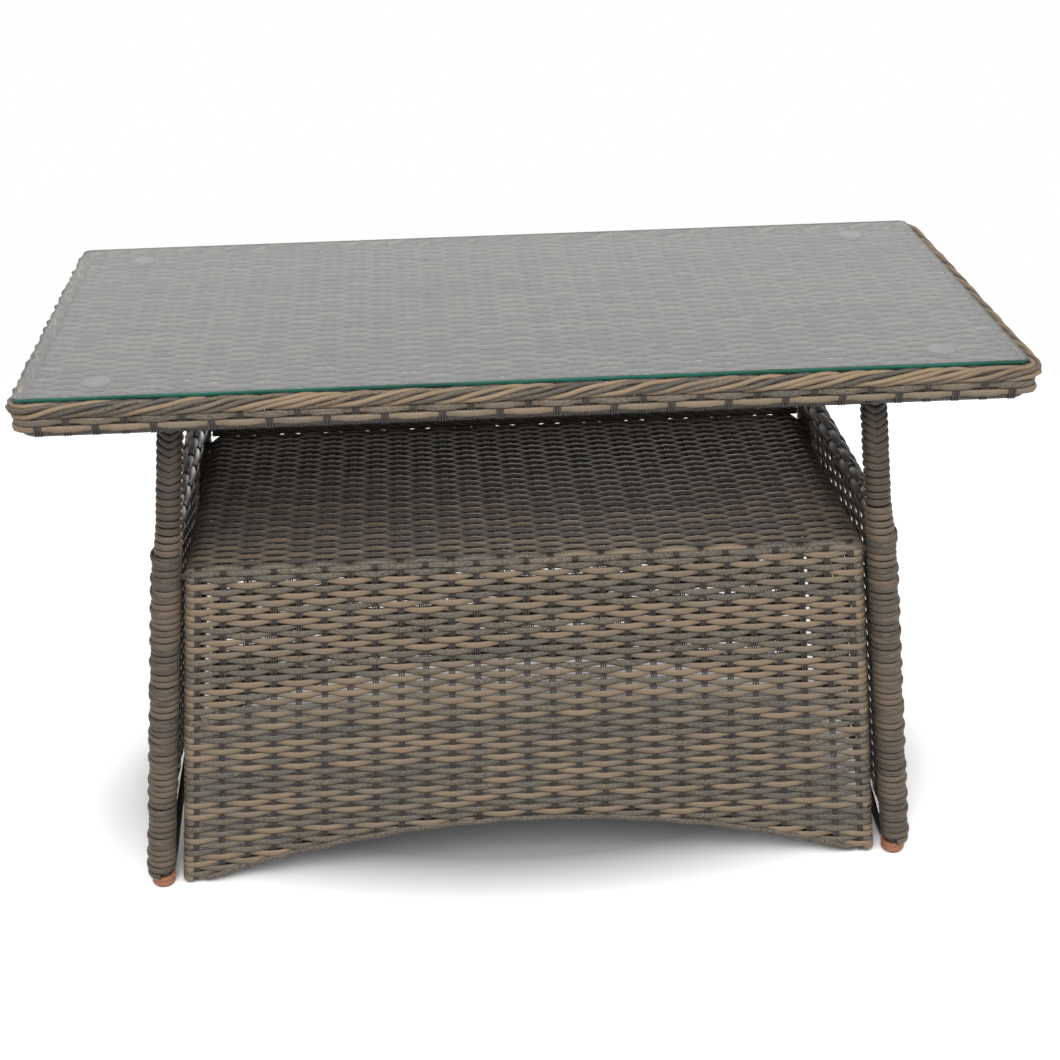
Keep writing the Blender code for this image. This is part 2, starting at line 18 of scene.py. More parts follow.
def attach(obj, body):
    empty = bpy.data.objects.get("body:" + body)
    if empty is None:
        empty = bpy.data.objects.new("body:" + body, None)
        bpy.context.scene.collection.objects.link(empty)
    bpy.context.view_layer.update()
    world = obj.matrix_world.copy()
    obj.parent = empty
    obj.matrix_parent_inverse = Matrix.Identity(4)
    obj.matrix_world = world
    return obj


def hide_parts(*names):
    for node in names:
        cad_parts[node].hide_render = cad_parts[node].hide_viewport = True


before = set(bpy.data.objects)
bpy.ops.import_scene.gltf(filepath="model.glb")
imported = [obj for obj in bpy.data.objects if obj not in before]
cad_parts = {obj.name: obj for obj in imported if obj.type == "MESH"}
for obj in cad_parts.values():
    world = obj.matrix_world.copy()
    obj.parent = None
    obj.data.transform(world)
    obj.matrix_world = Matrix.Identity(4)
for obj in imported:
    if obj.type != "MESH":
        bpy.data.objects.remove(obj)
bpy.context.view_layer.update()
LOG = logging.getLogger("wicker_table")

Grid = np.ndarray
Surface = Callable[[Grid, Grid], tuple[Grid, Grid]]
EdgeLift = Callable[[Grid, Grid], Grid]
Colour = tuple[float, float, float, float]

# ------------------------------------------------------------------ sizes shared by the pieces
CANE_WIDTH, CANE_THICK = 0.0087, 0.0021
STRAND_RADIUS, STRAND_GAP = 0.00108, 0.00270    # one of the three strands of a stake
PANEL_BOTTOM, NOSE_Z, SHELF_TOP = 0.0050, 0.4245, 0.4365
PANEL_ROWS, NOSE_ROWS, SHELF_ROWS, END_ROWS = 51, 2, 48, 54
PANEL_PITCH = (NOSE_Z - 0.0003 - PANEL_BOTTOM) / PANEL_ROWS     # one cane to the next
PANEL_COLUMNS, COLUMN_INSET = np.arange(-13.0, 14.0), 0.0170    # stakes, the last one's inset
SHELF_HALF, FOOT_HALF, POST_INSET = 0.3930, 0.4350, 0.0115
FACE_Y, FACE_LEAN, SKIN_MIDDLE = 0.2055, 0.0045, 0.0035
ARCH_HALF, ARCH_RISE = 0.4000, 0.0655
END_ARCH_HALF, END_ARCH_RISE = 0.1500, 0.0400
ARCH_CANE_RISE, STAKE_CLEARANCE = 0.0046, 0.0015    # heights above an arch's lower edge
LEG_Y, LEG_TOP_X, LEG_SPLAY, LEG_REFERENCE_Z = 0.201, 0.3910, 0.1132, 0.606
LOWER_TOP, LEG_TOP, FOOT_TOP = 0.4850, 0.6476, 0.0150
RAIL_Z, END_TOP = 0.4585, 0.4442
END_PITCH = (END_TOP - PANEL_BOTTOM) / END_ROWS
RIM_HALF_X, RIM_HALF_Y, RIM_CORNER = 0.551, 0.276, 0.021
ROPE_Z, SHEET_Z = 0.6626, 0.6642
RIGHT_SLACK = 0.0030    # how much further the rim reaches at the right end
GLASS_BOTTOM, GLASS_TOP, GLASS_SHIFT_X = 0.6710, 0.6760, -0.0030
SIGNS = {"left": -1.0, "right": 1.0, "front": -1.0, "back": 1.0}
CORNERS = [(depth, side) for depth in ("front", "back") for side in ("left", "right")]


class Body(Enum):
    """The CAD bodies that a piece can ride on."""

    TABLE = "table"
    GLASS = "glass"


class Section(Enum):
    """Cross-sections as (across, outward) pairs of a unit width and a unit thickness."""

    CANE = ((-0.5, -0.28), (-0.36, 0.22), (-0.13, 0.47), (0.13, 0.47), (0.36, 0.22),
            (0.5, -0.28), (0.0, -0.5))
    FULL_CANE = ((-0.5, -0.5), (-0.5, 0.0), (-0.36, 0.34), (-0.12, 0.5), (0.12, 0.5),
                 (0.36, 0.34), (0.5, 0.0), (0.5, -0.5))
    SHEET_CANE = ((-0.5, -0.5), (-0.5, 0.05), (-0.22, 0.5), (0.22, 0.5), (0.5, 0.05),
                  (0.5, -0.5))
    PLAIN_CANE = ((-0.5, -0.3), (-0.24, 0.38), (0.24, 0.38), (0.5, -0.3), (0.0, -0.5))
    STRAND = ((-0.5, 0.0), (-0.25, 0.43), (0.25, 0.43), (0.5, 0.0), (0.25, -0.43),
              (-0.25, -0.43))
    ROPE = ((-0.5, 0.0), (-0.38, 0.33), (-0.14, 0.5), (0.14, 0.5), (0.38, 0.33), (0.5, 0.0),
            (0.3, -0.42), (-0.3, -0.42))

    @property
    def points(self) -> Grid:
        """Return the section as an array of shape (points, 2)."""
        return np.array(self.value, float)


# ------------------------------------------------------------------ mesh helpers
@dataclass
class Strip:
    """Swept canes as plain arrays, ready to be joined into one mesh."""

    points: Grid
    quads: Grid
    quad_uv: Grid
    caps: Grid
    tone: Grid
    fleck: Grid


def unit(vectors: Grid) -> Grid:
    """Scale vectors to length one.

    Args:
        vectors: Array whose last axis holds x, y, z.

    Returns:
        The same array with every vector divided by its length.
    """
    return vectors / np.maximum(np.linalg.norm(vectors, axis=-1, keepdims=True), 1e-12)


def smooth_step(low: float, high: float, value: Grid) -> Grid:
    """Ease from 0 at low to 1 at high.

    Args:
        low: Value where the result is 0.
        high: Value where the result is 1.
        value: Where to evaluate.

    Returns:
        The eased share, by the cubic 3 t^2 - 2 t^3.
    """
    t = np.clip((value - low) / (high - low), 0.0, 1.0)
    return t * t * (3.0 - 2.0 * t)


def waver(rng: np.random.Generator, along: Grid, length: float, size: float) -> Grid:
    """Wander gently along each path, as hand-laid cane does.

    Formula: the sum of two sines per path, of the given wavelength and of 0.43 times it, each
    with its own random phase.

    Args:
        rng: Seeded source of the phases.
        along: Distance along each path, of shape (paths, samples).
        length: Main wavelength in metres.
        size: Largest wander in metres.

    Returns:
        Offsets of the same shape.
    """
    phase = rng.uniform(0, 2 * math.pi, (2, along.shape[0], 1))
    slow = np.sin(2 * math.pi * along / length + phase[0])
    return size * (0.6 * slow + 0.4 * np.sin(2 * math.pi * along / (0.43 * length) + phase[1]))


def sweep(centres: Grid, outward: Grid, section: Section, width: Grid | float,
          thickness: Grid | float, tone: Grid | float = 0.5, fleck: Grid | float = 0.3,
          closed: bool = False, seed: int = 0) -> Strip:
    """Carry a section along many paths at once.

    Formula: each vertex is the path's point, plus the sideways direction times the section's
    across times the width, plus the outward direction times its rise times the thickness. The
    sideways direction is square to the path and to outward.

    Args:
        centres: Path points, of shape (paths, samples, 3).
        outward: Outward directions at those points.
        section: The cross-section to carry.
        width: Full width, one number or one per sample.
        thickness: Full thickness, one number or one per sample.
        tone: Colour tone from 0, cool grey, to 1, warm tan.
        fleck: How speckled the cane is, from 0 to 1.
        closed: Whether each path joins up with its own start.
        seed: Seed of the shift that each path gets in its U coordinate.

    Returns:
        The strip of quads, with U in metres along the path and V from 0 to 1 round the section.
    """
    paths, samples = centres.shape[:2]
    shape = section.points
    count = len(shape)
    if closed:
        along = np.roll(centres, -1, 1) - np.roll(centres, 1, 1)
    else:
        along = np.gradient(centres, axis=1)
    along = unit(along)
    across = unit(np.cross(along, outward))
    rise = np.cross(across, along)
    width = np.broadcast_to(np.asarray(width, float), (paths, samples))
    thickness = np.broadcast_to(np.asarray(thickness, float), (paths, samples))
    points = (centres[:, :, None, :]
              + across[:, :, None, :] * (width[:, :, None] * shape[:, 0])[..., None]
              + rise[:, :, None, :] * (thickness[:, :, None] * shape[:, 1])[..., None])
    full = np.arange(paths * samples * count).reshape(paths, samples, count)
    index, ahead = full, np.roll(full, -1, 1)
    run = np.linalg.norm(np.roll(centres, -1, 1) - centres, axis=-1)
    shift = np.random.default_rng(seed).uniform(0, 40, (paths, 1))
    start_u = shift + np.concatenate([np.zeros((paths, 1)), np.cumsum(run, 1)[:, :-1]], 1)
    end_u = start_u + run
    if not closed:
        index, ahead = index[:, :-1], ahead[:, :-1]
        start_u, end_u = start_u[:, :-1], end_u[:, :-1]
    quads = np.stack([index, np.roll(index, -1, 2), np.roll(ahead, -1, 2), ahead], -1)
    low_v = np.broadcast_to(np.arange(count) / count, index.shape)
    u0 = np.broadcast_to(start_u[:, :, None], index.shape)
    u1 = np.broadcast_to(end_u[:, :, None], index.shape)
    high_v = low_v + 1.0 / count
    quad_uv = np.stack([np.stack([u0, low_v], -1), np.stack([u0, high_v], -1),
                        np.stack([u1, high_v], -1), np.stack([u1, low_v], -1)], -2)
    caps = np.zeros((0, count), int)
    if not closed:
        caps = np.concatenate([full[:, 0, ::-1], full[:, -1, :]])
    shades = (np.repeat(np.broadcast_to(value, (paths, samples)).ravel(), count)
              for value in (tone, fleck))
    return Strip(points.reshape(-1, 3), quads.reshape(-1, 4), quad_uv.reshape(-1, 4, 2), caps,
                 *shades)


def ring_solid(x: Grid, y: Grid, z: Grid) -> Strip:
    """Join rings of points, stacked from the bottom up, and cap both ends.

    Args:
        x: Positions along X, of shape (rings, points of a ring).
        y: Positions along Y, of the same shape.
        z: Heights, of the same shape or one per ring.

    Returns:
        One closed strip without shades of its own.
    """
    index = np.arange(x.size).reshape(x.shape)
    quads = np.stack([index[:-1], np.roll(index[:-1], -1, 1), np.roll(index[1:], -1, 1),
                      index[1:]], -1).reshape(-1, 4)
    points = np.stack([x, y, np.broadcast_to(z, x.shape)], -1).reshape(-1, 3)
    plain = np.zeros(x.size)
    return Strip(points, quads, np.zeros((len(quads), 4, 2)),
                 np.stack([index[0, ::-1], index[-1]]), plain, plain)


def add_piece(name: str, strips: list[Strip], material: bpy.types.Material, body: Body,
              stands_for: tuple[str, ...] = ()) -> bpy.types.Object:
    """Join strips into one named object that rides on a body.

    Args:
        name: The piece's name.
        strips: The strips that it holds.
        material: Its finish.
        body: The body that it rides on.
        stands_for: CAD nodes that it replaces.

    Returns:
        The new object, at the origin with its place in its mesh.
    """
    start, loops, sizes, uvs, smooth = 0, [], [], [], []
    for strip in strips:
        loops += [(strip.quads + start).ravel(), (strip.caps + start).ravel()]
        sizes += [np.full(len(strip.quads), 4), np.full(len(strip.caps), strip.caps.shape[1])]
        uvs += [strip.quad_uv.reshape(-1, 2), np.zeros((strip.caps.size, 2))]
        smooth += [np.ones(len(strip.quads), bool), np.zeros(len(strip.caps), bool)]
        start += len(strip.points)
    points = np.concatenate([strip.points for strip in strips])
    corner, size = np.concatenate(loops), np.concatenate(sizes)
    mesh = bpy.data.meshes.new(name)
    mesh.vertices.add(len(points))
    mesh.vertices.foreach_set("co", points.astype(np.float32).ravel())
    mesh.loops.add(len(corner))
    mesh.loops.foreach_set("vertex_index", corner.astype(np.int32))
    mesh.polygons.add(len(size))
    mesh.polygons.foreach_set("loop_start",
                              np.concatenate([[0], np.cumsum(size)[:-1]]).astype(np.int32))
    mesh.polygons.foreach_set("use_smooth", np.concatenate(smooth))
    mesh.update(calc_edges=True)
    layer = mesh.uv_layers.new(name="UVMap")
    layer.data.foreach_set("uv", np.concatenate(uvs).astype(np.float32).ravel())
    for label in ("tone", "fleck"):
        values = np.concatenate([getattr(strip, label) for strip in strips])
        mesh.attributes.new(label, "FLOAT", "POINT").data.foreach_set(
            "value", values.astype(np.float32))
    mesh.materials.append(material)
    piece = bpy.data.objects.new(name, mesh)
    bpy.context.scene.collection.objects.link(piece)
    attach(piece, body.value)
    if stands_for:
        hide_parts(*stands_for)
    LOG.info("%s: %d triangles", name, int((size - 2).sum()))
    return piece


# ------------------------------------------------------------------ finishes
class NodeTree:
    """A small writer of shader nodes."""

    def __init__(self, tree: bpy.types.NodeTree) -> None:
        """Write into this node tree."""
        self.tree = tree

    def put(self, value: object, socket: bpy.types.NodeSocket) -> None:
        """Link a socket to an input, or set the input's value."""
        if isinstance(value, bpy.types.NodeSocket):
            self.tree.links.new(value, socket)
        else:
            socket.default_value = value

    def node(self, kind: str, inputs: dict[str | int, object] | None = None,
             **settings: object) -> bpy.types.Node:
        """Add a node.

        Args:
            kind: The node's Blender type name.
            inputs: Values, or output sockets to link, by input name or number.
            settings: Properties of the node itself.

        Returns:
            The new node.
        """
        made = self.tree.nodes.new(kind)
        for key, value in settings.items():
            setattr(made, key, value)
        for key, value in (inputs or {}).items():
            self.put(value, made.inputs[key])
        return made

    def math(self, operation: str, first: object, second: object = 0.0) -> bpy.types.NodeSocket:
        """Return the result of a Math node on two values or sockets."""
        return self.node("ShaderNodeMath", {0: first, 1: second},
                         operation=operation).outputs[0]

    def ramp(self, value: object, low: float, high: float, first: object = 0.0,
             last: object = 1.0, shape: str = "SMOOTHSTEP") -> bpy.types.NodeSocket:
        """Return a value mapped from one range to another and held at its ends."""
        return self.node("ShaderNodeMapRange", {0: value, 1: low, 2: high, 3: first, 4: last},
                         interpolation_type=shape).outputs[0]

    def mix(self, share: object, first: object, second: object,
            blend: str = "MIX") -> bpy.types.NodeSocket:
        """Return the mix of two colours by a share."""
        return self.node("ShaderNodeMix", {0: share, 6: first, 7: second}, data_type="RGBA",
                         blend_type=blend).outputs[2]

    def noise(self, vector: object, scale: float, detail: float = 3.0,
              rough: float = 0.5) -> bpy.types.NodeSocket:
        """Return a noise value from 0 to 1 on a vector."""
        return self.node("ShaderNodeTexNoise", {"Vector": vector, "Scale": scale,
                                                "Detail": detail, "Roughness": rough}).outputs[0]

    def stretched(self, vector: object, scale: tuple[float, float, float],
                  turn: float = 0.0) -> bpy.types.NodeSocket:
        """Return a vector scaled along its axes and turned about Z."""
        return self.node("ShaderNodeMapping", {"Vector": vector, "Scale": scale,
                                               "Rotation": (0.0, 0.0, turn)}).outputs[0]

    def place(self) -> bpy.types.NodeSocket:
        """Return the Object coordinates."""
        return self.node("ShaderNodeTexCoord").outputs["Object"]

    def seen_share(self) -> bpy.types.NodeSocket:
        """Return 1 for rays from the camera, a mirror or through glass, and 0 for the rest."""
        path = self.node("ShaderNodeLightPath").outputs
        mirrored = self.math("MAXIMUM", path["Is Camera Ray"], path["Is Glossy Ray"])
        return self.math("MAXIMUM", mirrored, path["Is Transmission Ray"])

    def reach(self, place: object, scale: tuple[float, float, float]) -> bpy.types.NodeSocket:
        """Return a place's distance from the origin, stretched by a scale."""
        scaled = self.node("ShaderNodeVectorMath", {0: place, 1: scale}, operation="MULTIPLY")
        return self.node("ShaderNodeVectorMath", {0: scaled.outputs[0]},
                         operation="LENGTH").outputs["Value"]


class MaterialTree(NodeTree):
    """The node tree of a new material with one principled shader."""

    def __init__(self, name: str) -> None:
        """Start an empty material of this name."""
        self.material = bpy.data.materials.new(name)
        self.material.use_nodes = True
        super().__init__(self.material.node_tree)
        self.shader = self.tree.nodes["Principled BSDF"]

    def uv(self) -> bpy.types.NodeSocket:
        """Return the piece's own UV."""
        return self.node("ShaderNodeUVMap", uv_map="UVMap").outputs[0]

    def attribute(self, name: str) -> bpy.types.NodeSocket:
        """Return one of the piece's own attributes."""
        return self.node("ShaderNodeAttribute", attribute_name=name).outputs["Fac"]

    def set(self, **inputs: object) -> None:
        """Set or drive the shader's inputs; an underscore in a name stands for a space."""
        for label, value in inputs.items():
            self.put(value, self.shader.inputs[label.replace("_", " ")])

    def bump(self, height: object, strength: float, distance: float) -> None:
        """Drive the shader's normal from a height."""
        self.set(Normal=self.node("ShaderNodeBump", {
            "Height": height, "Strength": strength, "Distance": distance}).outputs[0])


def srgb(red: float, green: float, blue: float) -> Colour:
    """Turn a display colour into the linear colour that a node takes.

    Args:
        red: Red from 0 to 255.
        green: Green from 0 to 255.
        blue: Blue from 0 to 255.

    Returns:
        Linear red, green, blue and an alpha of one.
    """
    values = [v / 255 for v in (red, green, blue)]
    linear = [v / 12.92 if v <= 0.04045 else ((v + 0.055) / 1.055) ** 2.4 for v in values]
    return (*linear, 1.0)


@dataclass(frozen=True)
class CaneFinish:
    """Extruded plastic cane: fine grain along it, dark specks on the grey lengths, and painted
    shade on its sides where asked for.
    """

    name: str
    grey: Colour
    tan: Colour
    dark: Colour
    roughness: float = 0.52
    painted_groove_shade: float = 0.0

    def build(self) -> bpy.types.Material:
        """Make the material from the tone and fleck attributes and the piece's own UV."""
        nodes = MaterialTree(self.name)
        tone, fleck = nodes.attribute("tone"), nodes.attribute("fleck")
        uv = nodes.uv()
        grain = nodes.noise(nodes.stretched(uv, (55.0, 22.0, 1.0), 0.02), 1.0, 4.0, 0.6)
        specks = nodes.noise(nodes.stretched(uv, (260.0, 9.0, 1.0), 0.35), 1.0, 2.0, 0.6)
        patches = nodes.noise(nodes.stretched(uv, (24.0, 1.0, 1.0)), 1.0, 2.0, 0.5)
        share = nodes.math("ADD", tone, nodes.ramp(patches, 0.3, 0.7, -0.16, 0.16))
        base = nodes.mix(share, self.grey, self.tan)
        shade = nodes.ramp(grain, 0.25, 0.75, 0.80, 1.14)
        # Painted shade: away from its crest the cane's sides and underside are darkened, as if
        # shaded by the canes beside it.
        if self.painted_groove_shade:
            around = nodes.node("ShaderNodeSeparateXYZ", {0: uv}).outputs["Y"]
            side = nodes.math("ABSOLUTE", nodes.math("SUBTRACT", around, 0.43))
            shade = nodes.math("MULTIPLY", shade,
                               nodes.ramp(side, 0.14, 0.28, 1.0, 1.0 - self.painted_groove_shade))
        grained = nodes.mix(1.0, base, nodes.node(
            "ShaderNodeCombineColor", {0: shade, 1: shade, 2: shade}).outputs[0], "MULTIPLY")
        spotted = nodes.math("MULTIPLY", nodes.ramp(specks, 0.46, 0.57), fleck)
        speckled = nodes.math("MULTIPLY", spotted, 0.85)
        nodes.set(Base_Color=nodes.mix(speckled, grained, self.dark))
        nodes.set(Roughness=nodes.ramp(grain, 0.2, 0.8, self.roughness - 0.08,
                                       self.roughness + 0.10), Specular_IOR_Level=0.45)
        height = nodes.math("ADD", grain, nodes.math("MULTIPLY", spotted, -0.9))
        nodes.bump(height, 0.35, 0.0004)
        return nodes.material


@dataclass(frozen=True)
class StrandFinish:
    """Dark round strand with a long drawn grain."""

    name: str
    colour: Colour
    light: Colour

    def build(self) -> bpy.types.Material:
        """Make the material from the piece's own UV."""
        nodes = MaterialTree(self.name)
        uv = nodes.uv()
        tone = nodes.attribute("tone")
        grain = nodes.noise(nodes.stretched(uv, (80.0, 9.0, 1.0)), 1.0, 3.0, 0.6)
        share = nodes.math("MULTIPLY", nodes.ramp(grain, 0.3, 0.75), tone)
        nodes.set(Base_Color=nodes.mix(share, self.colour, self.light))
        nodes.set(Roughness=nodes.ramp(grain, 0.2, 0.8, 0.42, 0.6))
        nodes.bump(grain, 0.3, 0.0003)
        return nodes.material


@dataclass(frozen=True)
class CoatedTube:
    """Powder-coated steel, a little worn and dusty."""

    name: str
    colour: Colour
    dust: Colour

    def build(self) -> bpy.types.Material:
        """Make the material on Object coordinates."""
        nodes = MaterialTree(self.name)
        place = nodes.place()
        cloud = nodes.noise(place, 22.0, 4.0, 0.6)
        peel = nodes.noise(place, 900.0, 2.0, 0.5)
        nodes.set(Base_Color=nodes.mix(nodes.ramp(cloud, 0.45, 0.85), self.colour, self.dust))
        nodes.set(Roughness=nodes.ramp(cloud, 0.3, 0.8, 0.38, 0.6))
        nodes.bump(peel, 0.25, 0.0002)
        return nodes.material


@dataclass(frozen=True)
class ClearGlass:
    """Float glass: clear faces and a polished green edge, told apart by the face's direction."""

    name: str
    edge: Colour
    light_edge: Colour

    def build(self) -> bpy.types.Material:
        """Make the material: full transmission on the faces, a deep green on the rim."""
        nodes = MaterialTree(self.name)
        place = nodes.node("ShaderNodeTexCoord")
        normal = nodes.node("ShaderNodeSeparateXYZ", {0: place.outputs["Normal"]}).outputs["Z"]
        flat = nodes.ramp(nodes.math("ABSOLUTE", normal), 0.55, 0.8)
        wave = nodes.noise(place.outputs["Object"], 9.0, 2.0, 0.5)
        green = nodes.mix(nodes.ramp(wave, 0.3, 0.7), self.edge, self.light_edge)
        nodes.set(Base_Color=nodes.mix(flat, green, (0.97, 0.99, 0.985, 1.0)))
        nodes.set(Transmission_Weight=nodes.ramp(flat, 0.0, 1.0, 0.12, 1.0), IOR=1.5)
        nodes.set(Roughness=nodes.ramp(flat, 0.0, 1.0, 0.18, 0.0))
        return nodes.material


@dataclass(frozen=True)
class SoftPad:
    """Translucent soft plastic disc."""

    name: str
    colour: Colour
    light: Colour

    def build(self) -> bpy.types.Material:
        """Make the material on Object coordinates."""
        nodes = MaterialTree(self.name)
        place = nodes.place()
        cloud = nodes.noise(place, 160.0, 3.0, 0.6)
        nodes.set(Base_Color=nodes.mix(nodes.ramp(cloud, 0.3, 0.7), self.colour, self.light))
        nodes.set(Roughness=nodes.ramp(cloud, 0.3, 0.7, 0.3, 0.45))
        nodes.set(Transmission_Weight=0.35)
        nodes.bump(cloud, 0.1, 0.0002)
        return nodes.material


@dataclass(frozen=True)
class FootPlastic:
    """Moulded brown plastic with scuffs near the ground."""

    name: str
    colour: Colour
    light: Colour
    scuff: Colour

    def build(self) -> bpy.types.Material:
        """Make the material on Object coordinates."""
        nodes = MaterialTree(self.name)
        place = nodes.place()
        height = nodes.node("ShaderNodeSeparateXYZ", {0: place}).outputs["Z"]
        cloud = nodes.noise(place, 240.0, 4.0, 0.65)
        # The foot's own scuffs: darker patches in its lowest 7 mm.
        scuff_and_painted_shade = nodes.math("MULTIPLY", nodes.ramp(height, 0.007, 0.0), nodes.ramp(cloud, 0.4, 0.7))
        varied = nodes.mix(nodes.ramp(cloud, 0.3, 0.8), self.colour, self.light)
        nodes.set(Base_Color=nodes.mix(scuff_and_painted_shade, varied, self.scuff))
        nodes.set(Roughness=nodes.ramp(cloud, 0.3, 0.8, 0.4, 0.62))
        nodes.bump(cloud, 0.15, 0.0002)
        return nodes.material


@dataclass
class Finishes:
    """Every finish of the table, made once."""

    woven: bpy.types.Material = field(init=False)
    sheet: bpy.types.Material = field(init=False)
    shelf: bpy.types.Material = field(init=False)
    wound: bpy.types.Material = field(init=False)
    wound_painted_shade: bpy.types.Material = field(init=False)
    rope: bpy.types.Material = field(init=False)
    stake: bpy.types.Material = field(init=False)
    tube: bpy.types.Material = field(init=False)
    glass: bpy.types.Material = field(init=False)
    pad: bpy.types.Material = field(init=False)
    foot: bpy.types.Material = field(init=False)

    def __post_init__(self) -> None:
        """Build the materials."""
        dark = srgb(52, 47, 43)
        self.woven = CaneFinish("woven_cane_look", srgb(108, 102, 91), srgb(146, 126, 103),
                                dark).build()
        self.sheet = CaneFinish("sheet_cane_look", srgb(72, 71, 70), srgb(112, 102, 91),
                                dark, painted_groove_shade=0.88).build()
        # Painted shade: a darker copy of the woven cane, about 0.85 of its colours, for the shade
        # that the tabletop casts on the shelf.
        self.shelf = CaneFinish("shelf_cane_painted_shade_look", srgb(92, 85, 76), srgb(124, 107, 88),
                                dark, painted_groove_shade=0.75).build()
        self.wound = CaneFinish("wound_cane_look", srgb(80, 73, 64), srgb(110, 94, 77),
                                dark).build()
        # Painted shade: a darker copy of the wound cane, for canes in shade: the upper leg
        # windings under the rim, the side rails and the shelf's border.
        self.wound_painted_shade = CaneFinish("wound_cane_painted_shade_look", srgb(61, 55, 48), srgb(80, 68, 56),
                                 dark).build()
        self.rope = CaneFinish("rope_cane_look", srgb(85, 79, 70), srgb(145, 124, 98),
                               dark).build()
        self.stake = StrandFinish("stake_look", srgb(42, 37, 35), srgb(88, 77, 70)).build()
        self.tube = CoatedTube("coated_tube_look", srgb(44, 40, 37), srgb(84, 78, 70)).build()
        self.glass = ClearGlass("clear_glass_look", srgb(14, 84, 68),
                                srgb(34, 110, 92)).build()
        self.pad = SoftPad("clear_pad_look", srgb(108, 108, 107),
                           srgb(124, 124, 122)).build()
        self.foot = FootPlastic("foot_plastic_look", srgb(158, 106, 76), srgb(178, 124, 90),
                                srgb(104, 80, 64)).build()


# ------------------------------------------------------------------ weave
def leg_x(z: Grid | float) -> Grid | float:
    """Return how far a leg's centre line stands from the middle at a height."""
    return LEG_TOP_X + LEG_SPLAY * (LEG_REFERENCE_Z - z)


def panel_half(z: Grid | float) -> Grid | float:
    """Return the long panels' half width at a height."""
    return SHELF_HALF + (FOOT_HALF - SHELF_HALF) * (SHELF_TOP - z) / (SHELF_TOP - PANEL_BOTTOM)


def panel_face(z: Grid | float) -> Grid | float:
    """Return how far a long panel's outer face stands from the middle at a height."""
    return FACE_Y + FACE_LEAN * (SHELF_TOP - z) / (SHELF_TOP - PANEL_BOTTOM)


def column_pitch(z: Grid | float) -> Grid | float:
    """Return the spacing of the long panels' stakes at a height; they fan with the panel."""
    return (panel_half(z) - COLUMN_INSET) / PANEL_COLUMNS[-1]


def arch_lift(along: Grid, pitch: Grid | float) -> Grid:
    """Return how far the cane along an arch stands proud: it bows over every other stake."""
    return 0.0016 + 0.0012 * np.cos(math.pi * along / pitch)


def arch_height(along: Grid, half: float, rise: float) -> Grid:
    """Return the height of an arched lower edge.

    Args:
        along: Distance from the middle of the panel.
        half: Half the arch's span.
        rise: The arch's rise over its feet.

    Returns:
        The edge's height: a circle's arc over the span, and level beside it.
    """
    radius = (half * half + rise * rise) / (2 * rise)
    inside = np.clip(np.abs(along), 0, half)
    return PANEL_BOTTOM + rise - radius + np.sqrt(radius * radius - inside * inside)


def arch_reach(height: Grid, half: float, rise: float) -> Grid:
    """Return how far from the middle an arched edge passes a height, or 0 above its crown."""
    radius = (half * half + rise * rise) / (2 * rise)
    drop = np.clip(radius - (PANEL_BOTTOM + rise - height), 0, radius)
    return np.where(height < PANEL_BOTTOM + rise, np.sqrt(radius * radius - drop * drop), 0.0)


